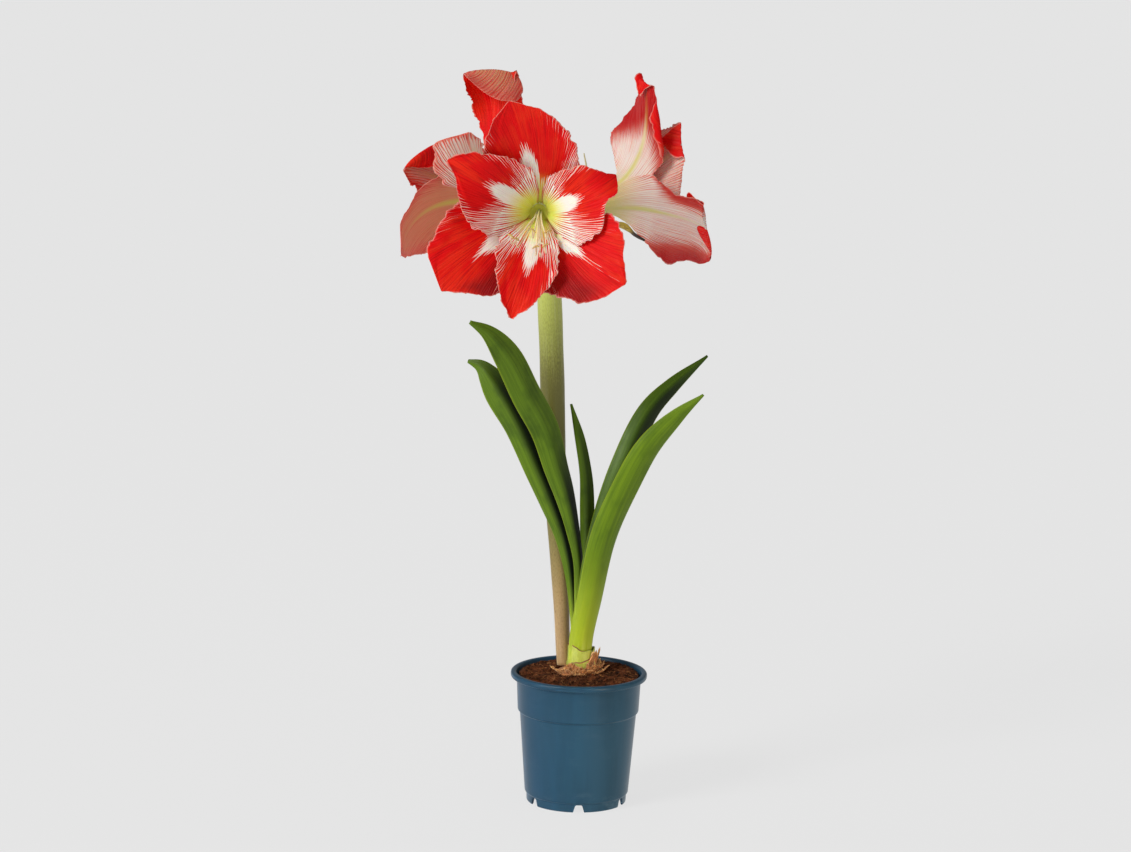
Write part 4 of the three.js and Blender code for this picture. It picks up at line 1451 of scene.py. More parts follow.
@dataclass(frozen=True)
class Marks:
    """Pattern of a petal.

    The inside has a cream stripe (half-width and end along the petal), red lines that close up
    between start and full, later on the right side by lean, and a pale line along the midrib as far
    as line.  Dark is painted shade on the inside: how crimson the margins of its left and right
    halves are.  The outside is red by back at its margins and peachy by peach, a painted glow of
    light through the petal; deep is the crimson of its halves towards the tip, partly their
    red and partly painted shade, over the whole half where it is above one.  Pale is how much cream
    shows at the rim.
    """

    stripe: float = 6.0
    stripe_end: float = 0.55
    start: float = 0.14
    full: float = 0.6
    lean: float = 0.0
    line: float = 0.0
    # painted shade: how dark the inside's left and right margins are
    dark: tuple[float, float] = (0.0, 0.0)
    back: float = 0.5
    # partly red, partly painted shade: crimson of the outside's halves towards the tip
    deep: tuple[float, float] = (0.0, 0.0)
    # painted glow: how peach the outside is, for light coming through the petal
    peach: float = 0.3
    pale: float = 0.5

    def inside(self, at: Lay) -> Array:
        """How red the inside is: from a third (thin red lines) up to one (closed), thinner again
        at the margins, and cleared by a wedge with a blunt end and by the line beyond it.

        Args:
            at: where the points lie.

        Returns:
            A number for each point.
        """
        t, side, across = at.t, at.side, at.across
        closed = ease(self.start, self.full, t - self.lean * at.s - 0.22 * side)
        red = 0.36 * ease(0.05, 0.15, t) + 0.82 * closed
        red = red - self.pale * ease(0.5, 0.95, side) * ease(1.0, 0.62, t) * closed
        width = self.stripe * (0.36 + 0.64 * ease(0.06, 0.4, t))
        width = width * (1 - 0.45 * ease(-0.1, 0.08, t - self.stripe_end))
        clear = ease(width + 2.4, width - 1.8, across)
        clear = clear * ease(self.stripe_end + 0.15, self.stripe_end - 0.1, t + 0.008 * across)
        thin = 0.62 * (ease(1.3, 0.2, across) * ease(self.stripe_end - 0.1, self.stripe_end, t))
        thin = thin * ease(self.line + 0.12, self.line - 0.06, t) * (self.line > 0)
        return red - 1.7 * clear - thin

    def painted_inner_shade(self, at: Lay) -> Array:
        """Painted shade on the inside's halves: how dark they are, more towards the margin, at
        mid-length.

        Args:
            at: where the points lie.

        Returns:
            A number for each point.
        """
        share = np.where(at.s < 0, *self.dark)
        return share * ease(0.15, 0.7, at.side) * ease(0.25, 0.5, at.t) * ease(0.95, 0.75, at.t)

    def crimson(self, at: Lay) -> Array:
        """How crimson the outside's halves are, partly their red and partly painted shade: more
        towards the margin and the tip.

        Args:
            at: where the points lie.

        Returns:
            A number for each point.
        """
        share = np.where(at.s < 0, *self.deep)
        start = np.where(share > 1, -0.35, 0.42)
        whole = np.minimum(share * ease(start, 1.0, at.side), 1)
        return whole * ease(0.5, 0.72, at.t + 0.2 * at.side)

    def outside(self, at: Lay) -> Array:
        """How red the outside is: at the margins, at the tip and where its painted shade makes it
        crimson.

        Args:
            at: where the points lie.

        Returns:
            A number for each point.
        """
        t, side = at.t, at.side
        red = self.back * (0.15 + 0.85 * ease(0.35, 1.0, side)) * ease(0.25, 0.75, t + 0.12 * side)
        red = red + 0.3 * ease(0.84, 1, side) * ease(0.12, 0.4, t) + 0.3 * ease(0.8, 1, t)
        red = red + 0.6 * self.back * ease(0.86, 0.98, t)
        red = red + 0.1 - 0.3 * ease(3.5, 1.0, at.across) * ease(0.95, 0.7, t)
        return red + 0.9 * self.crimson(at)


@dataclass(frozen=True)
class Tepal:
    """One petal-like segment, set out from its midrib.

    Spread is the angle from the flower's axis at even stations, sway turns the tip sideways, and
    twist turns the blade about its own midrib.
    """

    whorl: Whorl
    azimuth: float
    length: float
    spread: tuple[float, ...]
    sway: float
    twist: float
    left: Side
    right: Side
    marks: Marks = Marks()
    folds: tuple[Fold, ...] = ()
    rows: int = 121
    columns: int = 45

    def axes(self, t: Array) -> tuple[Array, Array, Array]:
        """Tangent, width and inward directions at places along the midrib.

        Args:
            t: (rows,) places from foot to tip.

        Returns:
            Three (rows, 3) arrays in the flower's frame.
        """
        azimuth = math.radians(self.azimuth)
        axis = np.array((0.0, 0.0, 1.0))
        radial = np.array((math.cos(azimuth), math.sin(azimuth), 0))
        around = np.array((-math.sin(azimuth), math.cos(azimuth), 0))
        spread = np.radians(through(self.spread, t))[:, None]
        drift = math.radians(self.sway) * 1.6 * t[:, None]
        out = radial * np.cos(drift) + around * np.sin(drift)
        tangent = axis * np.cos(spread) + out * np.sin(spread)
        inward = axis * np.sin(spread) - out * np.cos(spread)
        width = -np.cross(tangent, inward)
        turn = math.radians(self.twist) * ease(0.15, 1, t)[:, None]
        turned = width * np.cos(turn) + inward * np.sin(turn)
        return tangent, turned, inward * np.cos(turn) - width * np.sin(turn)

    def flank(self, side: Side, t: Array, s: Array) -> tuple[Array, Array, Array]:
        """Cross-section from the midrib to one margin.

        The slope at s is bend * s; adding up its cosine and its sine gives how far out and how far
        in the surface lies.

        Args:
            side: the half.
            t: (rows,) places along.
            s: (columns,) places across, from 0 to 1.

        Returns:
            Distances out and in, and the half-width, each (rows, columns).
        """
        _, ring, foot = self.whorl.value
        reach = through((foot, *side.half, TIP), t)[:, None]
        closed = math.degrees(foot / ring)
        middle, tip = side.curl
        bend = closed + ease(0, 0.3, t) * (middle + ease(0.45, 1, t) * (tip - middle) - closed)
        slope = np.radians(bend)[:, None] * s
        start, steps = np.zeros((len(t), 1)), np.diff(s)
        out, inn = (np.hstack((start, np.cumsum((f[:, 1:] + f[:, :-1]) / 2 * steps, axis=1)))
                    for f in (np.cos(slope), np.sin(slope)))
        return reach * out, reach * inn, np.broadcast_to(reach, out.shape)

    def waved(self, out: Array, inn: Array, t: Array, s: Array, sign: int,
              seed: int) -> tuple[Array, Array]:
        """Adds the teeth of a half's margin, and the ruffles and ribs of its surface.

        Args:
            out: (rows, columns) distances out.
            inn: (rows, columns) distances in.
            t: (rows,) places along.
            s: (columns,) places across, from 0 to 1.
            sign: -1 for the left half and 1 for the right one.
            seed: picks the teeth, ruffles and ribs.

        Returns:
            The new distances out and in.
        """
        run, zero = t * self.length, t * 0
        teeth = 0.8 * mottle(run / 1.5 + 7 * seed, zero + seed, seed)
        teeth = teeth + 1.7 * mottle(run / 5.0 + 3 * seed, zero + sign + 2, seed)
        wave = layered(run / 15 + seed * 3.3, zero + 5 + sign, seed + 4, 2)
        ribs = mottle(8 * s + 2 * seed * sign + zero[:, None], t[:, None] * 1.5 + seed, seed + 9)
        inn = inn + (wave * 1.9 * ease(0.12, 0.45, t))[:, None] * s**3
        inn = inn + 0.45 * ribs * (ease(0.15, 0.5, t)[:, None] * s**0.5 * (1 - s**6))
        return out + (teeth * ease(0.1, 0.3, t))[:, None] * s**10, inn

    def middle(self, seed: int) -> tuple[Array, Lay]:
        """Middle surface: midrib plus both flanks, waved, then folded.

        Args:
            seed: picks the ruffles and the teeth of the margin.

        Returns:
            Points (rows, columns, 3) and where they lie.
        """
        finer = 1.5 if self.folds else 1.0
        t = np.linspace(0, 1, int(self.rows * finer))
        s = np.linspace(0, 1, int(self.columns * finer) // 2 + 1) ** 0.9
        _, ring, _ = self.whorl.value
        mids = (t[1:] + t[:-1]) / 2
        azimuth = math.radians(self.azimuth)
        foot = np.array((ring * math.cos(azimuth), ring * math.sin(azimuth), 0.35))
        spine = np.cumsum(np.vstack((foot, self.axes(mids)[0] * self.length / len(mids))), axis=0)
        _, width, inward = self.axes(t)
        halves, reaches = [], []
        for sign, side in ((-1, self.left), (1, self.right)):
            out, inn, reach = self.flank(side, t, s)
            out, inn = self.waved(out, inn, t, s, sign, seed)
            halves.append(spine[:, None] + sign * out[..., None] * width[:, None]
                          + inn[..., None] * inward[:, None])
            reaches.append(reach)
        points, reach = (np.concatenate((left[:, :0:-1], right), axis=1)
                         for left, right in (halves, reaches))
        for fold in self.folds:
            points = fold.bent(points)
        return points, Lay(t[:, None], np.concatenate((-s[:0:-1], s))[None], reach)

    def add(self, skin: Skin, seed: int) -> None:
        """Adds the petal's sheet with its pattern.

        The grain's first axis fans out of the foot, so that lines of one value follow the veins.
        Green keeps to the throat inside, and to the midrib and the foot outside.

        Args:
            skin: the piece it makes.
            seed: picks its ruffles.
        """
        points, at = self.middle(seed)
        t, side, across, marks = at.t, at.side, at.across, self.marks
        throat = ease(0.4, 0.13, t + 0.14 * side)
        midrib = ease(7.5 - 5.5 * t, 0.3, across) * ease(0.92, 0.3, t) * 0.8
        midrib = np.maximum(midrib, ease(0.32, 0.02, t) * 0.8)
        seam = ease(0.8, 0.97, side) * ease(0.0, 0.03, t) * ease(0.27, 0.17, t)
        gap = (1 - side) * at.reach
        margin = ease(1.0, 0.15, gap) * ease(0.12, 0.3, t)
        fan = at.s * at.reach / (t + 0.1) * 0.4
        grain = np.stack(np.broadcast_arrays(fan + FAN_STEP * seed, t * 2.6 + seed), axis=-1)
        thick = 0.45 + 0.6 * ease(5.0, 0.5, across) * ease(1.0, 0.6, t) + 0.35 * ease(0.3, 0.0, t)
        skin.sheet(points, thick * (0.35 + 0.65 * ease(0, 1.2, gap)), grain,
                   red=(marks.inside(at), marks.outside(at)), green=(throat, midrib),
                   margin=(margin, margin), inside=(1.0, 0.0),
                   # deep: painted shade inside, and outside a crimson that is partly red, partly
                   # painted shade
                   deep=(marks.painted_inner_shade(at), marks.crimson(at)), seam=(seam, 0.0),
                   # peach: painted glow of light through the petal, on the outside only
                   along=(t, t), peach=(0.0, marks.peach))


@dataclass(frozen=True)
class Thread:
    """Filament or style that leaves the tube, dips to the flower's lower side and rises."""

    start: Point
    side: float
    dip: float
    length: float
    upturn: float
    radius: tuple[float, float]
    rows: int = 60

    def add(self, skin: Skin, flush: float) -> Array:
        """Adds the thread, redder towards its end.

        Args:
            skin: the piece it joins.
            flush: how red its end is.

        Returns:
            Its last point.
        """
        x, y, _ = self.start
        knots = [self.start, (x * 0.9 + self.side * 0.02, y - 1.5, 0),
                 (self.side * 0.35, -self.dip * 0.35, self.length * 0.38),
                 (self.side * 0.8, -self.dip * 0.85, self.length * 0.7),
                 (self.side, -self.dip, self.length * 0.86),
                 (self.side * 1.05, -self.dip + self.upturn, self.length)]
        t = np.linspace(0, 1, self.rows)
        path = smooth_path(knots, t)
        radius = self.radius[0] + (self.radius[1] - self.radius[0]) * t
        skin.tube(path, radius, (1, 0, 0), 12, flush=flush * ease(0.35, 1, t), anther=0.0)
        return path[-1]


@dataclass
class Flower:
    """One flower: six tepals, tube, stamens, pistil and pedicel.

    Throat is the middle of the tube's mouth; reach is the length of its threads, where one is the
    length in a flower that is fully open.
    """

    name: str
    throat: Point
    azimuth: float
    elevation: float
    tepals: tuple[Tepal, ...]
    reach: float = 1.0
    tube_columns: int = 72
    fringe: int = 30

    def frame(self) -> Array:
        """The flower's own frame: origin in the mouth of the tube, Z along the axis, Y upwards.

        Returns:
            4 x 4 matrix that takes its points to the plant's.
        """
        a, e = math.radians(self.azimuth), math.radians(self.elevation)
        axis = np.array((math.cos(e) * math.cos(a), math.cos(e) * math.sin(a), math.sin(e)))
        up = unit(np.array((0, 0, 1)) - axis * axis[2])
        place = np.eye(4)
        place[:3, :3] = np.column_stack((np.cross(up, axis), up, axis))
        place[:3, 3] = self.throat
        return place

    def finish(self, skin: Skin, node: str, end: str, slot: str, material: Material) -> None:
        """Builds a piece in the flower's frame and dresses it.

        Args:
            skin: its surfaces.
            node: the CAD node it replaces.
            end: what its own name adds to the node's.
            slot: the record's material slot.
            material: its finish.
        """
        finish_piece(skin.build(f"{node}_{end}", self.frame()), node, slot, material)

    def petals(self, petal: Material) -> None:
        """Builds each tepal as its own piece.

        Args:
            petal: their finish.
        """
        for k, tepal in enumerate(self.tepals):
            skin = Skin()
            tepal.add(skin, 3 + k + 11 * len(self.name) + ord(self.name[0]))
            node = f"tepal_{self.name}_{tepal.whorl.value[0]}_{k + 1}"
            self.finish(skin, node, "petal", "petal", petal)

    def tube(self, green: Material) -> None:
        """Ovary and tube, turned with six shallow lobes, and the pale fringe in its mouth.

        Args:
            green: their finish.
        """
        profile = rounded([(0, -34), (3.6, -34), (5.6, -30), (6.2, -25.5), (5.0, -20.5), (4.7, -17),
                           (5.8, -11), (8.2, -4.2), (10.4, 0), (9.0, 0.0), (7.0, -1.4), (4.6, -3.4),
                           (2.4, -5.2), (0, -5.8)], 2.2, 5)
        angle = np.linspace(0, TURN, self.tube_columns, endpoint=False)
        lobes = 0.035 * np.cos(6 * angle) * ease(-3, -14, profile[:, 1:])
        lobes = lobes + 0.06 * np.cos(3 * angle) * ease(-19, -25, profile[:, 1:])
        inner = np.arange(len(profile)) > np.argmax(profile[:, 0])
        lip = np.maximum(inner, ease(-4.0, -1.0, profile[:, 1]))
        skin = Skin()
        skin.turned(profile, self.tube_columns, 1 + lobes, throat=lip[:, None], fringe=0.0)
        draw = np.random.default_rng(5)
        f = np.linspace(0, 1, 7)
        for turn in np.radians(np.linspace(35, 145, self.fringe)):
            lean, long = draw.uniform(0.1, 0.7), draw.uniform(2.4, 5.6)
            reach, swing = 7.0 + lean * long * f**1.5, turn + draw.uniform(-0.3, 0.3) * f**2
            path = np.column_stack((reach * np.cos(swing), reach * np.sin(swing),
                                    -0.8 + long * f * (1.1 - 0.3 * f)))
            skin.tube(path, 0.34 * (1.1 - 0.8 * f), (1, 1, 0), 6, throat=0.0, fringe=1.0)
        self.finish(skin, f"flower_tube_{self.name}", "wall", "flower_green", green)

    def stamens(self, thread: Material) -> None:
        """Ring at the foot of the threads and six filaments, each with a curved anther.

        Args:
            thread: their finish.
        """
        skin = Skin()
        t = np.linspace(0, TURN, 25)
        wide = 2.2 + 0.7 * np.cos(t)
        ring = np.stack(np.broadcast_arrays(np.cos(t)[:, None] * wide, np.sin(t)[:, None] * wide,
                                            -13.4 + 0.8 * np.sin(t)), axis=-1)[:, :-1]
        skin.ring(ring, np.zeros(2), flush=0.0, anther=0.0)
        spots = ((10, 20, 66), (-2, 19, 72), (-15, 27, 68), (-19, 24, 75), (1, 33, 70), (9, 31, 76))
        f = np.linspace(-1, 1, 19)
        bulge = 1.1 * np.sqrt(1.02 - f**2) * (1 + 0.1 * np.cos(9 * f))
        for k, (side, dip, length) in enumerate(spots):
            turn = math.radians(30 + 60 * k)
            start = (2.2 * math.cos(turn), 2.2 * math.sin(turn), -13.4)
            end = Thread(start, side, dip, length * self.reach, 7, (0.85, 0.55)).add(skin, 0.25)
            lean = 0.5 * math.copysign(1, side) * (0.6 + 0.4 * (k % 2))
            rise = 1.5 * (1 - f**2) + 3.3 * f * math.sin(lean) - 0.8
            path = end + np.column_stack((3.3 * f * math.cos(lean), rise, 0.4 + 0.9 * f))
            skin.tube(path, bulge, (0, 0, 1), 16, 0.75, flush=0.0, anther=1.0)
        self.finish(skin, f"stamens_{self.name}", "threads", "filament", thread)

    def pistil(self, thread: Material) -> None:
        """Style with its three-lobed stigma.

        Args:
            thread: its finish.
        """
        skin = Skin()
        end = Thread((0, 0, -15.2), 5, 33, 87 * self.reach, 12, (0.95, 0.8)).add(skin, 0.9)
        f = np.linspace(0, 1, 9)
        for turn in map(math.radians, (90, 210, 330)):
            path = end + f[:, None] * 3.4 * np.array((math.cos(turn), math.sin(turn), 0))
            path[:, 2] += 0.2 + 0.9 * f**2
            skin.tube(path, 0.75 * np.sqrt(1.02 - f**2), (0, 0, 1), 10, flush=0.2, anther=0.0)
        self.finish(skin, f"pistil_{self.name}", "style", "filament", thread)

    def pedicel(self, stalk: Stalk, green: Material) -> None:
        """Curved stalk of the flower, from the scape's head to the ovary: a cubic Bezier curve.

        Args:
            stalk: the scape that it stands on.
            green: its finish.
        """
        head, rise = stalk.tip()
        place = self.frame()
        axis = place[:3, 2]
        end = place[:3, 3] - axis * 34.3
        azimuth = math.radians(self.azimuth)
        outward = np.array((math.cos(azimuth), math.sin(azimuth), 0))
        outward = unit(outward - rise * (rise @ outward)) * 6
        seat = head + outward + rise * 0.3
        t = np.linspace(0, 1, 40)
        f = t[:, None]
        path = ((1 - f) ** 3 * seat + 3 * f * (1 - f) ** 2 * (seat + rise * 12)
                + 3 * f**2 * (1 - f) * (end - axis * 14) + f**3 * end)
        skin = Skin()
        skin.tube(path, 3.3 + 0.25 * ease(0.8, 1, t), tuple(np.cross(rise, axis)), 32, throat=0.0,
                  fringe=0.0)
        finish_piece(skin.build(f"pedicel_{self.name}_stalk"), f"pedicel_{self.name}",
                     "flower_green", green)

    def build(self, stalk: Stalk, petal: Material, green: Material, thread: Material) -> None:
        """Builds the flower.

        Args:
            stalk: the scape that it stands on.
            petal: the tepals' finish.
            green: the finish of the tube and the pedicel.
            thread: the finish of the stamens and the pistil.
        """
        self.petals(petal)
        self.tube(green)
        self.stamens(thread)
        self.pistil(thread)
        self.pedicel(stalk, green)


# In Marks, dark and deep paint shade, and peach paints a glow of light through the petal
FLOWERS = (
    Flower("front", (-43, -62, 531), -92, 5, (
        Tepal(Whorl.INNER, 17.5, 87, (18.3, 47.2, 72.2, 141.9), 12.9, 0,
              Side((16.8, 28.6, 37.6, 36.8, 34.1, 15.9, 14.5), (37.6, 14.6)),
              Side((15.2, 23.5, 28.2, 28.9, 26.1, 22.2, 9.6), (26.3, 5.9)),
              Marks(stripe=5.6, stripe_end=0.52, start=0.1, full=0.52, lean=-0.08, pale=0.37)),
        Tepal(Whorl.OUTER, 97.8, 108.6, (26.6, 51.6, 64.4, 75.1), 8.8, 0,
              Side((14.9, 26.9, 41, 42, 40.2, 32.9, 22.5), (16, 18.3)),
              Side((14.6, 23.5, 32, 37.8, 38.6, 31.1, 22.3), (14.3, 17.3)),
              Marks(stripe=5.6, stripe_end=0.57, start=0.02, full=0.36, pale=0.27)),
        Tepal(Whorl.INNER, 149.8, 100.2, (20.5, 47.6, 66.6, 99.1), 0.1, 0,
              Side((16, 25, 30.3, 31.4, 29.8, 23.8, 16.7), (35.9, 28.6)),
              Side((19.8, 32.1, 39.3, 39.6, 37, 25.1, 9.4), (33.8, 11.8)),
              Marks(stripe=5.8, stripe_end=0.56, start=0.1, full=0.52, lean=0.1, pale=0.35)),
        Tepal(Whorl.OUTER, 211.7, 106.9, (32.5, 61.6, 69.5, 80.4), 11.1, 0,
              Side((18, 30.7, 41.6, 45, 43.7, 37, 28.7), (13.9, 6.8)),
              Side((12.9, 19.6, 25.7, 30.7, 35.5, 33.2, 15.7), (13.9, 9.7)),
              Marks(stripe=6, stripe_end=0.52, start=0, full=0.34, line=0.85, dark=(0, 0.9),
                    pale=0.2)),
        Tepal(Whorl.INNER, 265.8, 105, (20.3, 46.8, 62.5, 84.8), -9.5, 0,
              Side((14.3, 22.5, 28.5, 30.2, 27.1, 21.7, 15.2), (30.1, 19.9)),
              Side((12.7, 19, 23.7, 25.6, 24.8, 18.4, 11.2), (29.9, 20)),
              Marks(stripe=5, stripe_end=0.56, start=0.12, full=0.5, pale=0.32)),
        Tepal(Whorl.OUTER, 314.2, 103.5, (27.8, 53.2, 65.3, 80.2), 12.3, 0,
              Side((14, 22.7, 32.7, 43.5, 39.4, 34.4, 22.7), (14.2, 9.5)),
              Side((16.2, 26.6, 35.6, 40.4, 41.9, 36.7, 19.9), (13.9, 10.8)),
              Marks(stripe=6, stripe_end=0.5, start=0, full=0.34, line=0.9, dark=(0.8, 0),
                    pale=0.18)),
    )),
    Flower("right", (6, 24, 528), 25, 20, (
        Tepal(Whorl.INNER, 7.1, 101.3, (10, 26, 38, 56), -1.9, 0.7,
              Side((10.6, 15.8, 21.8, 26.1, 26.6, 23.8, 18.9), (15, 8)),
              Side((7.5, 8.5, 11, 15, 18, 17, 14), (15.6, 8))),
        Tepal(Whorl.OUTER, 113.3, 133.6, (-13.2, 44.9, 75.1, 72.7), -11, 4.9,
              Side((4.8, 18.8, 50.6, 47, 36.9, 26.3, 17.5), (5.8, 40.3)),
              Side((16.9, 23.2, 26.7, 26.3, 25.6, 22.7, 8.8), (22.6, 28.5)),
              Marks(start=-0.2, full=0.15, back=0.6, peach=0, deep=(9, 9), pale=0.08),
              folds=(Fold((0.45, 0.955), (0.817, 0.818), -160, 1.4),
                     Fold((0.883, 0.727), (0.895, -0.182), -160, 1.2))),
        Tepal(Whorl.INNER, 138.7, 114.6, (-13.1, 28.8, 43.9, 56.4), 5.7, -10,
              Side((13.2, 17.2, 24.8, 31.2, 32.5, 25.3, 17.7), (35.4, 14.3)),
              Side((14.3, 24, 35.6, 42.9, 25.7, 11.9, 11.7), (23.1, 13.1)),
              Marks(back=0.2, peach=0.3, pale=0.08),
              folds=(Fold((0.742, 0.955), (0.85, -1), -158, 1.8),)),
        Tepal(Whorl.OUTER, 210.1, 118.1, (15.3, 41.2, 49.9, 116.5), 19.9, 13.8,
              Side((22.6, 35.4, 36.7, 27.7, 32.6, 39.8, 42.5), (30.7, -8.4)),
              Side((15.6, 26.1, 42.6, 59.8, 71.3, 73.4, 70.8), (-26.4, -12.6)),
              Marks(back=1, peach=0.05, deep=(0.9, 1), pale=0.1),
              folds=(Fold((0.9, 0.455), (0.7, -1), -158, 1.2),)),
        Tepal(Whorl.INNER, 295.3, 110.1, (21.7, 46.5, 58.3, 84), 2.8, 0,
              Side((12.2, 17.8, 24.1, 27, 27.5, 24.6, 18.8), (26, 10)),
              Side((13.5, 20.8, 27, 30.4, 30.2, 26.2, 19.2), (26, 10))),
        Tepal(Whorl.OUTER, 345.1, 96, (14, 30, 44, 62), 0, 0,
              Side((11, 15, 19, 22, 23, 21, 16), (14.1, 10)),
              Side((9, 11, 13, 15, 16, 15, 12), (14, 10))),
    ), 0.82),
    Flower("left", (-73, 24, 527), 155, 18, (
        Tepal(Whorl.INNER, 6.6, 105.2, (-3.7, 16.1, 52.1, 95.4), 0.4, 13.1,
              Side((19.5, 34.4, 38, 30.3, 19.1, 13.3, 9.9), (36.3, 10.1)),
              Side((13.8, 21.5, 28.3, 32.2, 31.6, 30.8, 28), (24, 17.6)),
              Marks(back=0.9, peach=0.5, deep=(0.5, 0.6), pale=0.1),
              folds=(Fold((0.675, 0.773), (1, 0), -165, 1.4),)),
        Tepal(Whorl.OUTER, 47.2, 82.6, (22.9, 66.1, 83.5, 89.7), -0.4, -48.5,
              Side((12.5, 18.9, 26.3, 34.5, 36.8, 35.2, 31.8), (21.2, 26.2)),
              Side((11.6, 13.5, 9.9, 9.8, 9.5, 9.2, 7.8), (23.3, 3.3)),
              Marks(back=0.6, peach=0.2, pale=0.1)),
        Tepal(Whorl.INNER, 164.3, 158.3, (8.2, 63.1, 63.3, -26.7), -59.7, 143.7,
              Side((12.2, 19.2, 27.7, 34.5, 27.6, 20.4, 39.3), (-14.2, 31.5)),
              Side((9.3, 10.1, 10.4, 15.4, 21.5, 24.1, 25.7), (15.8, 55)),
              Marks(stripe=5, stripe_end=0.3, start=0.02, full=0.3, back=0.95, peach=1, pale=0.08),
              folds=(Fold((0.93, 1), (0.79, -0.6), 165, 1.8),)),
        Tepal(Whorl.OUTER, 190, 108, (26, 52, 66, 84), 0, 0,
              Side((14.6, 22.7, 29.8, 34.1, 34.2, 30, 22.4), (14, 10)),
              Side((14.8, 23.2, 30.6, 35, 35.2, 30.9, 23), (14, 10))),
        Tepal(Whorl.INNER, 233.7, 109.3, (21.5, 44, 57.8, 80), -1.4, 0,
              Side((13.5, 20.8, 27, 30.4, 30.2, 26.2, 19.2), (26, 10)),
              Side((11, 15.5, 23.8, 28.7, 29.7, 26.2, 19.4), (25.7, 10))),
        Tepal(Whorl.OUTER, 328.8, 119.1, (-1, 36.8, 82.5, 123), -11.5, -3.8,
              Side((14.2, 23.6, 36.3, 52.6, 55.2, 45.6, 27.6), (-10.2, 5.9)),
              Side((21.1, 35.1, 41.1, 38.3, 34.6, 29.8, 27.7), (-2.2, 2.6)),
              Marks(back=1.05, peach=1, pale=0.1)),
    ), 0.82),
)


@dataclass
class Umbel:
    """Three flowers, two dry spathe valves and a bracteole on the scape's head."""

    stalk: Stalk
    dry: HuskFinish = HuskFinish("spathe", (200, 172, 60), (166, 138, 44), (110, 70, 30),
                                 (48, 26, 16), 0.75, 0.35)
    pale: HuskFinish = HuskFinish("bracteole", (222, 222, 176), (190, 196, 128), (170, 160, 96),
                                  (206, 196, 150), 0.6, 0.2)

    def build(self) -> None:
        """Builds the flowers, then the bracts."""
        petal, green = PetalFinish().material(), GreenFinish().material()
        thread = ThreadFinish().material()
        for flower in FLOWERS:
            flower.build(self.stalk, petal, green, thread)
        dry, pale = self.dry.material(), self.pale.material()
        for name, strap in SPATHE.items():
            slot, finish = ("flower_green", pale) if name == "bracteole" else ("spathe", dry)
            finish_piece(strap.build(f"{name}_bract"), name, slot, finish)


# ---------------------------------------------------------------- studio


class LampKind(Enum):
    """Kinds of lamp."""

    SUN = "SUN"
    AREA = "AREA"


@dataclass(frozen=True)
class Lamp:
    """Lamp that points at a target, both places in metres.

    Size is the angle of the sun in degrees, or width and height of the area in metres; spread is
    the angle, in degrees, within which an area's light leaves it.
    """

    name: str
    kind: LampKind
    energy: float
    size: tuple[float, float]
    place: Point
    target: Point
    tint: Point = (1.0, 1.0, 1.0)
    spread: float = 180.0

    def build(self) -> None:
        """Adds the lamp to the scene."""
        data = bpy.data.lights.new(self.name, self.kind.value)
        data.energy, data.color = self.energy, self.tint
        if self.kind is LampKind.SUN:
            data.angle = math.radians(self.size[0])
        else:
            data.shape, (data.size, data.size_y) = "RECTANGLE", self.size
            data.spread = math.radians(self.spread)
        lamp = bpy.data.objects.new(self.name, data)
        aim = Vector(self.place) - Vector(self.target)
        lamp.matrix_world = (Matrix.Translation(self.place)
                             @ aim.to_track_quat("Z", "Y").to_matrix().to_4x4())
        bpy.context.scene.collection.objects.link(lamp)


LAMPS = (
    Lamp("key", LampKind.SUN, 1.8, (20, 20), (-2.3, -2.1, 2.2), (0, 0, 0.3)),
    Lamp("side", LampKind.AREA, 8, (0.7, 1.3), (-1.75, -1.05, 0.7), (0, 0, 0.3)),
    Lamp("glint", LampKind.AREA, 0.05, (0.08, 0.08), (-1.25, -0.75, 0.05), (0, 0, 0.05),
         (0.8, 0.9, 1.0), 14),
    Lamp("strip", LampKind.AREA, 0.08, (0.08, 0.08), (0.85, -1.12, 0.05), (0, 0, 0.05),
         (1.0, 0.8, 0.55), 14),
)


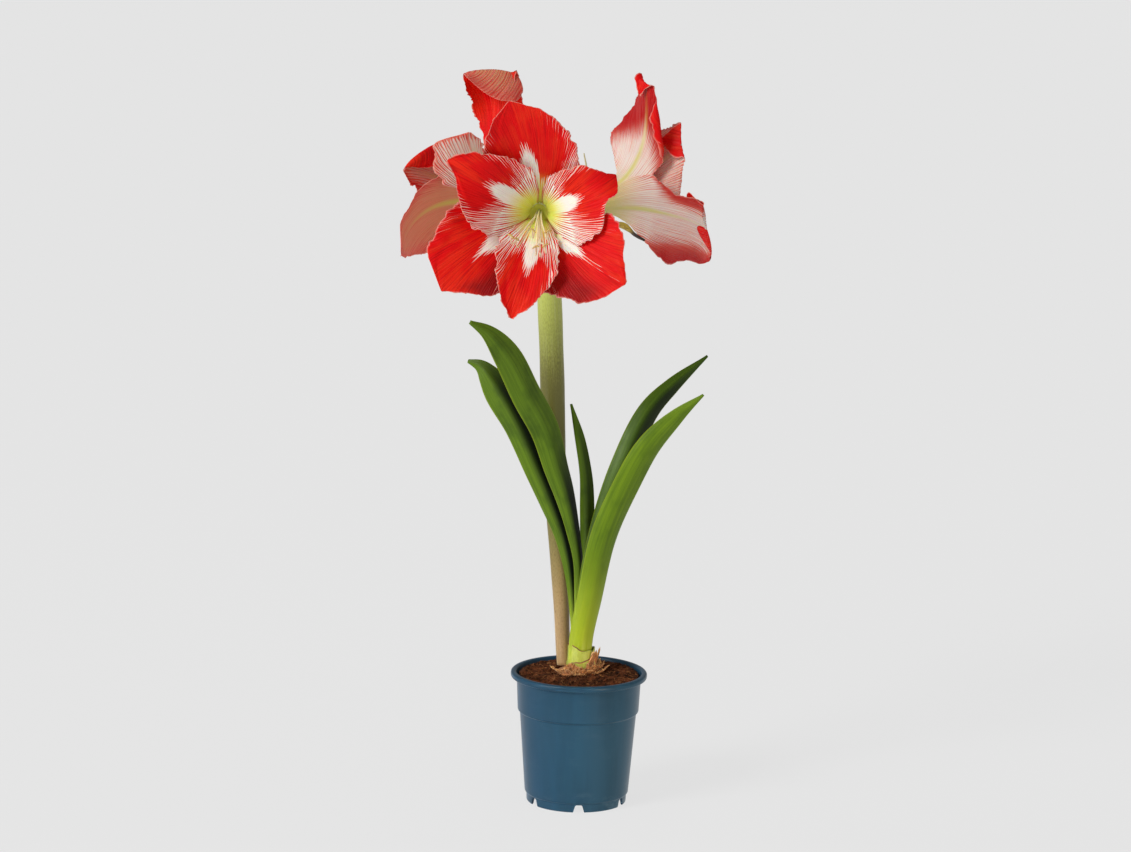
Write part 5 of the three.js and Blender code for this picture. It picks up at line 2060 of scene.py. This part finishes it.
@dataclass
class Studio:
    """Pale floor, soft light and the camera.

    Eye is in millimetres, pitch and roll in degrees; sky is how bright the world is as light, and
    backdrop how bright the camera sees it.
    """

    eye: Point = (-16.62, -3440.27, 979.62)
    pitch: float = 79.4
    roll: float = 1.27
    lens: float = 128.02
    sensor: float = 36.0
    sky: float = 0.36
    backdrop: float = 0.78
    floor_colour: Colour = (90, 90, 90)
    glow: Colour = (219, 219, 219)

    def camera(self) -> None:
        """Long lens at a standing height, looking slightly down."""
        data = bpy.data.cameras.new("camera")
        data.lens, data.sensor_width, data.clip_end = self.lens, self.sensor, 100.0
        camera = bpy.data.objects.new("camera", data)
        turn = Matrix.Rotation(math.radians(self.pitch), 4, "X")
        camera.matrix_world = (Matrix.Translation(np.array(self.eye) * MM) @ turn
                               @ Matrix.Rotation(math.radians(self.roll), 4, "Z"))
        bpy.context.scene.collection.objects.link(camera)
        bpy.context.scene.camera = camera

    def floor(self) -> None:
        """Wide floor of one even pale tone."""
        mesh = bpy.data.meshes.new("floor")
        corners = [(-20, -8, 0), (20, -8, 0), (20, 32, 0), (-20, 32, 0)]
        mesh.from_pydata(corners, [], [(0, 1, 2, 3)])
        piece = bpy.data.objects.new("floor", mesh)
        bpy.context.scene.collection.objects.link(piece)
        g = Graph("floor", Roughness=0.9, Specular_IOR_Level=0.0, Emission_Color=self.glow,
                  Emission_Strength=1.0)
        mesh.materials.append(g.done(self.floor_colour))

    def world(self) -> None:
        """White sky, dimmer as light than as the camera sees it."""
        world = bpy.data.worlds.new("studio")
        world.use_nodes = True
        tree = world.node_tree
        sky, seen = tree.nodes["Background"], tree.nodes.new("ShaderNodeLightPath")
        span = tree.nodes.new("ShaderNodeMapRange")
        span.inputs["To Min"].default_value = self.sky
        span.inputs["To Max"].default_value = self.backdrop
        tree.links.new(seen.outputs["Is Camera Ray"], span.inputs["Value"])
        tree.links.new(span.outputs["Result"], sky.inputs["Strength"])
        sky.inputs["Color"].default_value = (1.0, 1.0, 1.0, 1.0)
        bpy.context.scene.world = world

    def build(self) -> None:
        """Sets the view, the sky, the lamps, the floor and the camera."""
        bpy.context.scene.view_settings.view_transform = "Standard"
        self.world()
        for lamp in LAMPS:
            lamp.build()
        self.floor()
        self.camera()


def main() -> None:
    """Builds the pot, the soil, the bulb, the leaves, the stalk and the umbel, in that order."""
    logging.basicConfig(level=logging.INFO, format="%(message)s")
    Studio().build()
    stalk = Stalk()
    Pot().build()
    Soil().build()
    Bulb().build()
    LeafFan().build()
    stalk.build()
    Umbel(stalk).build()


if __name__ == "__main__":
    main()
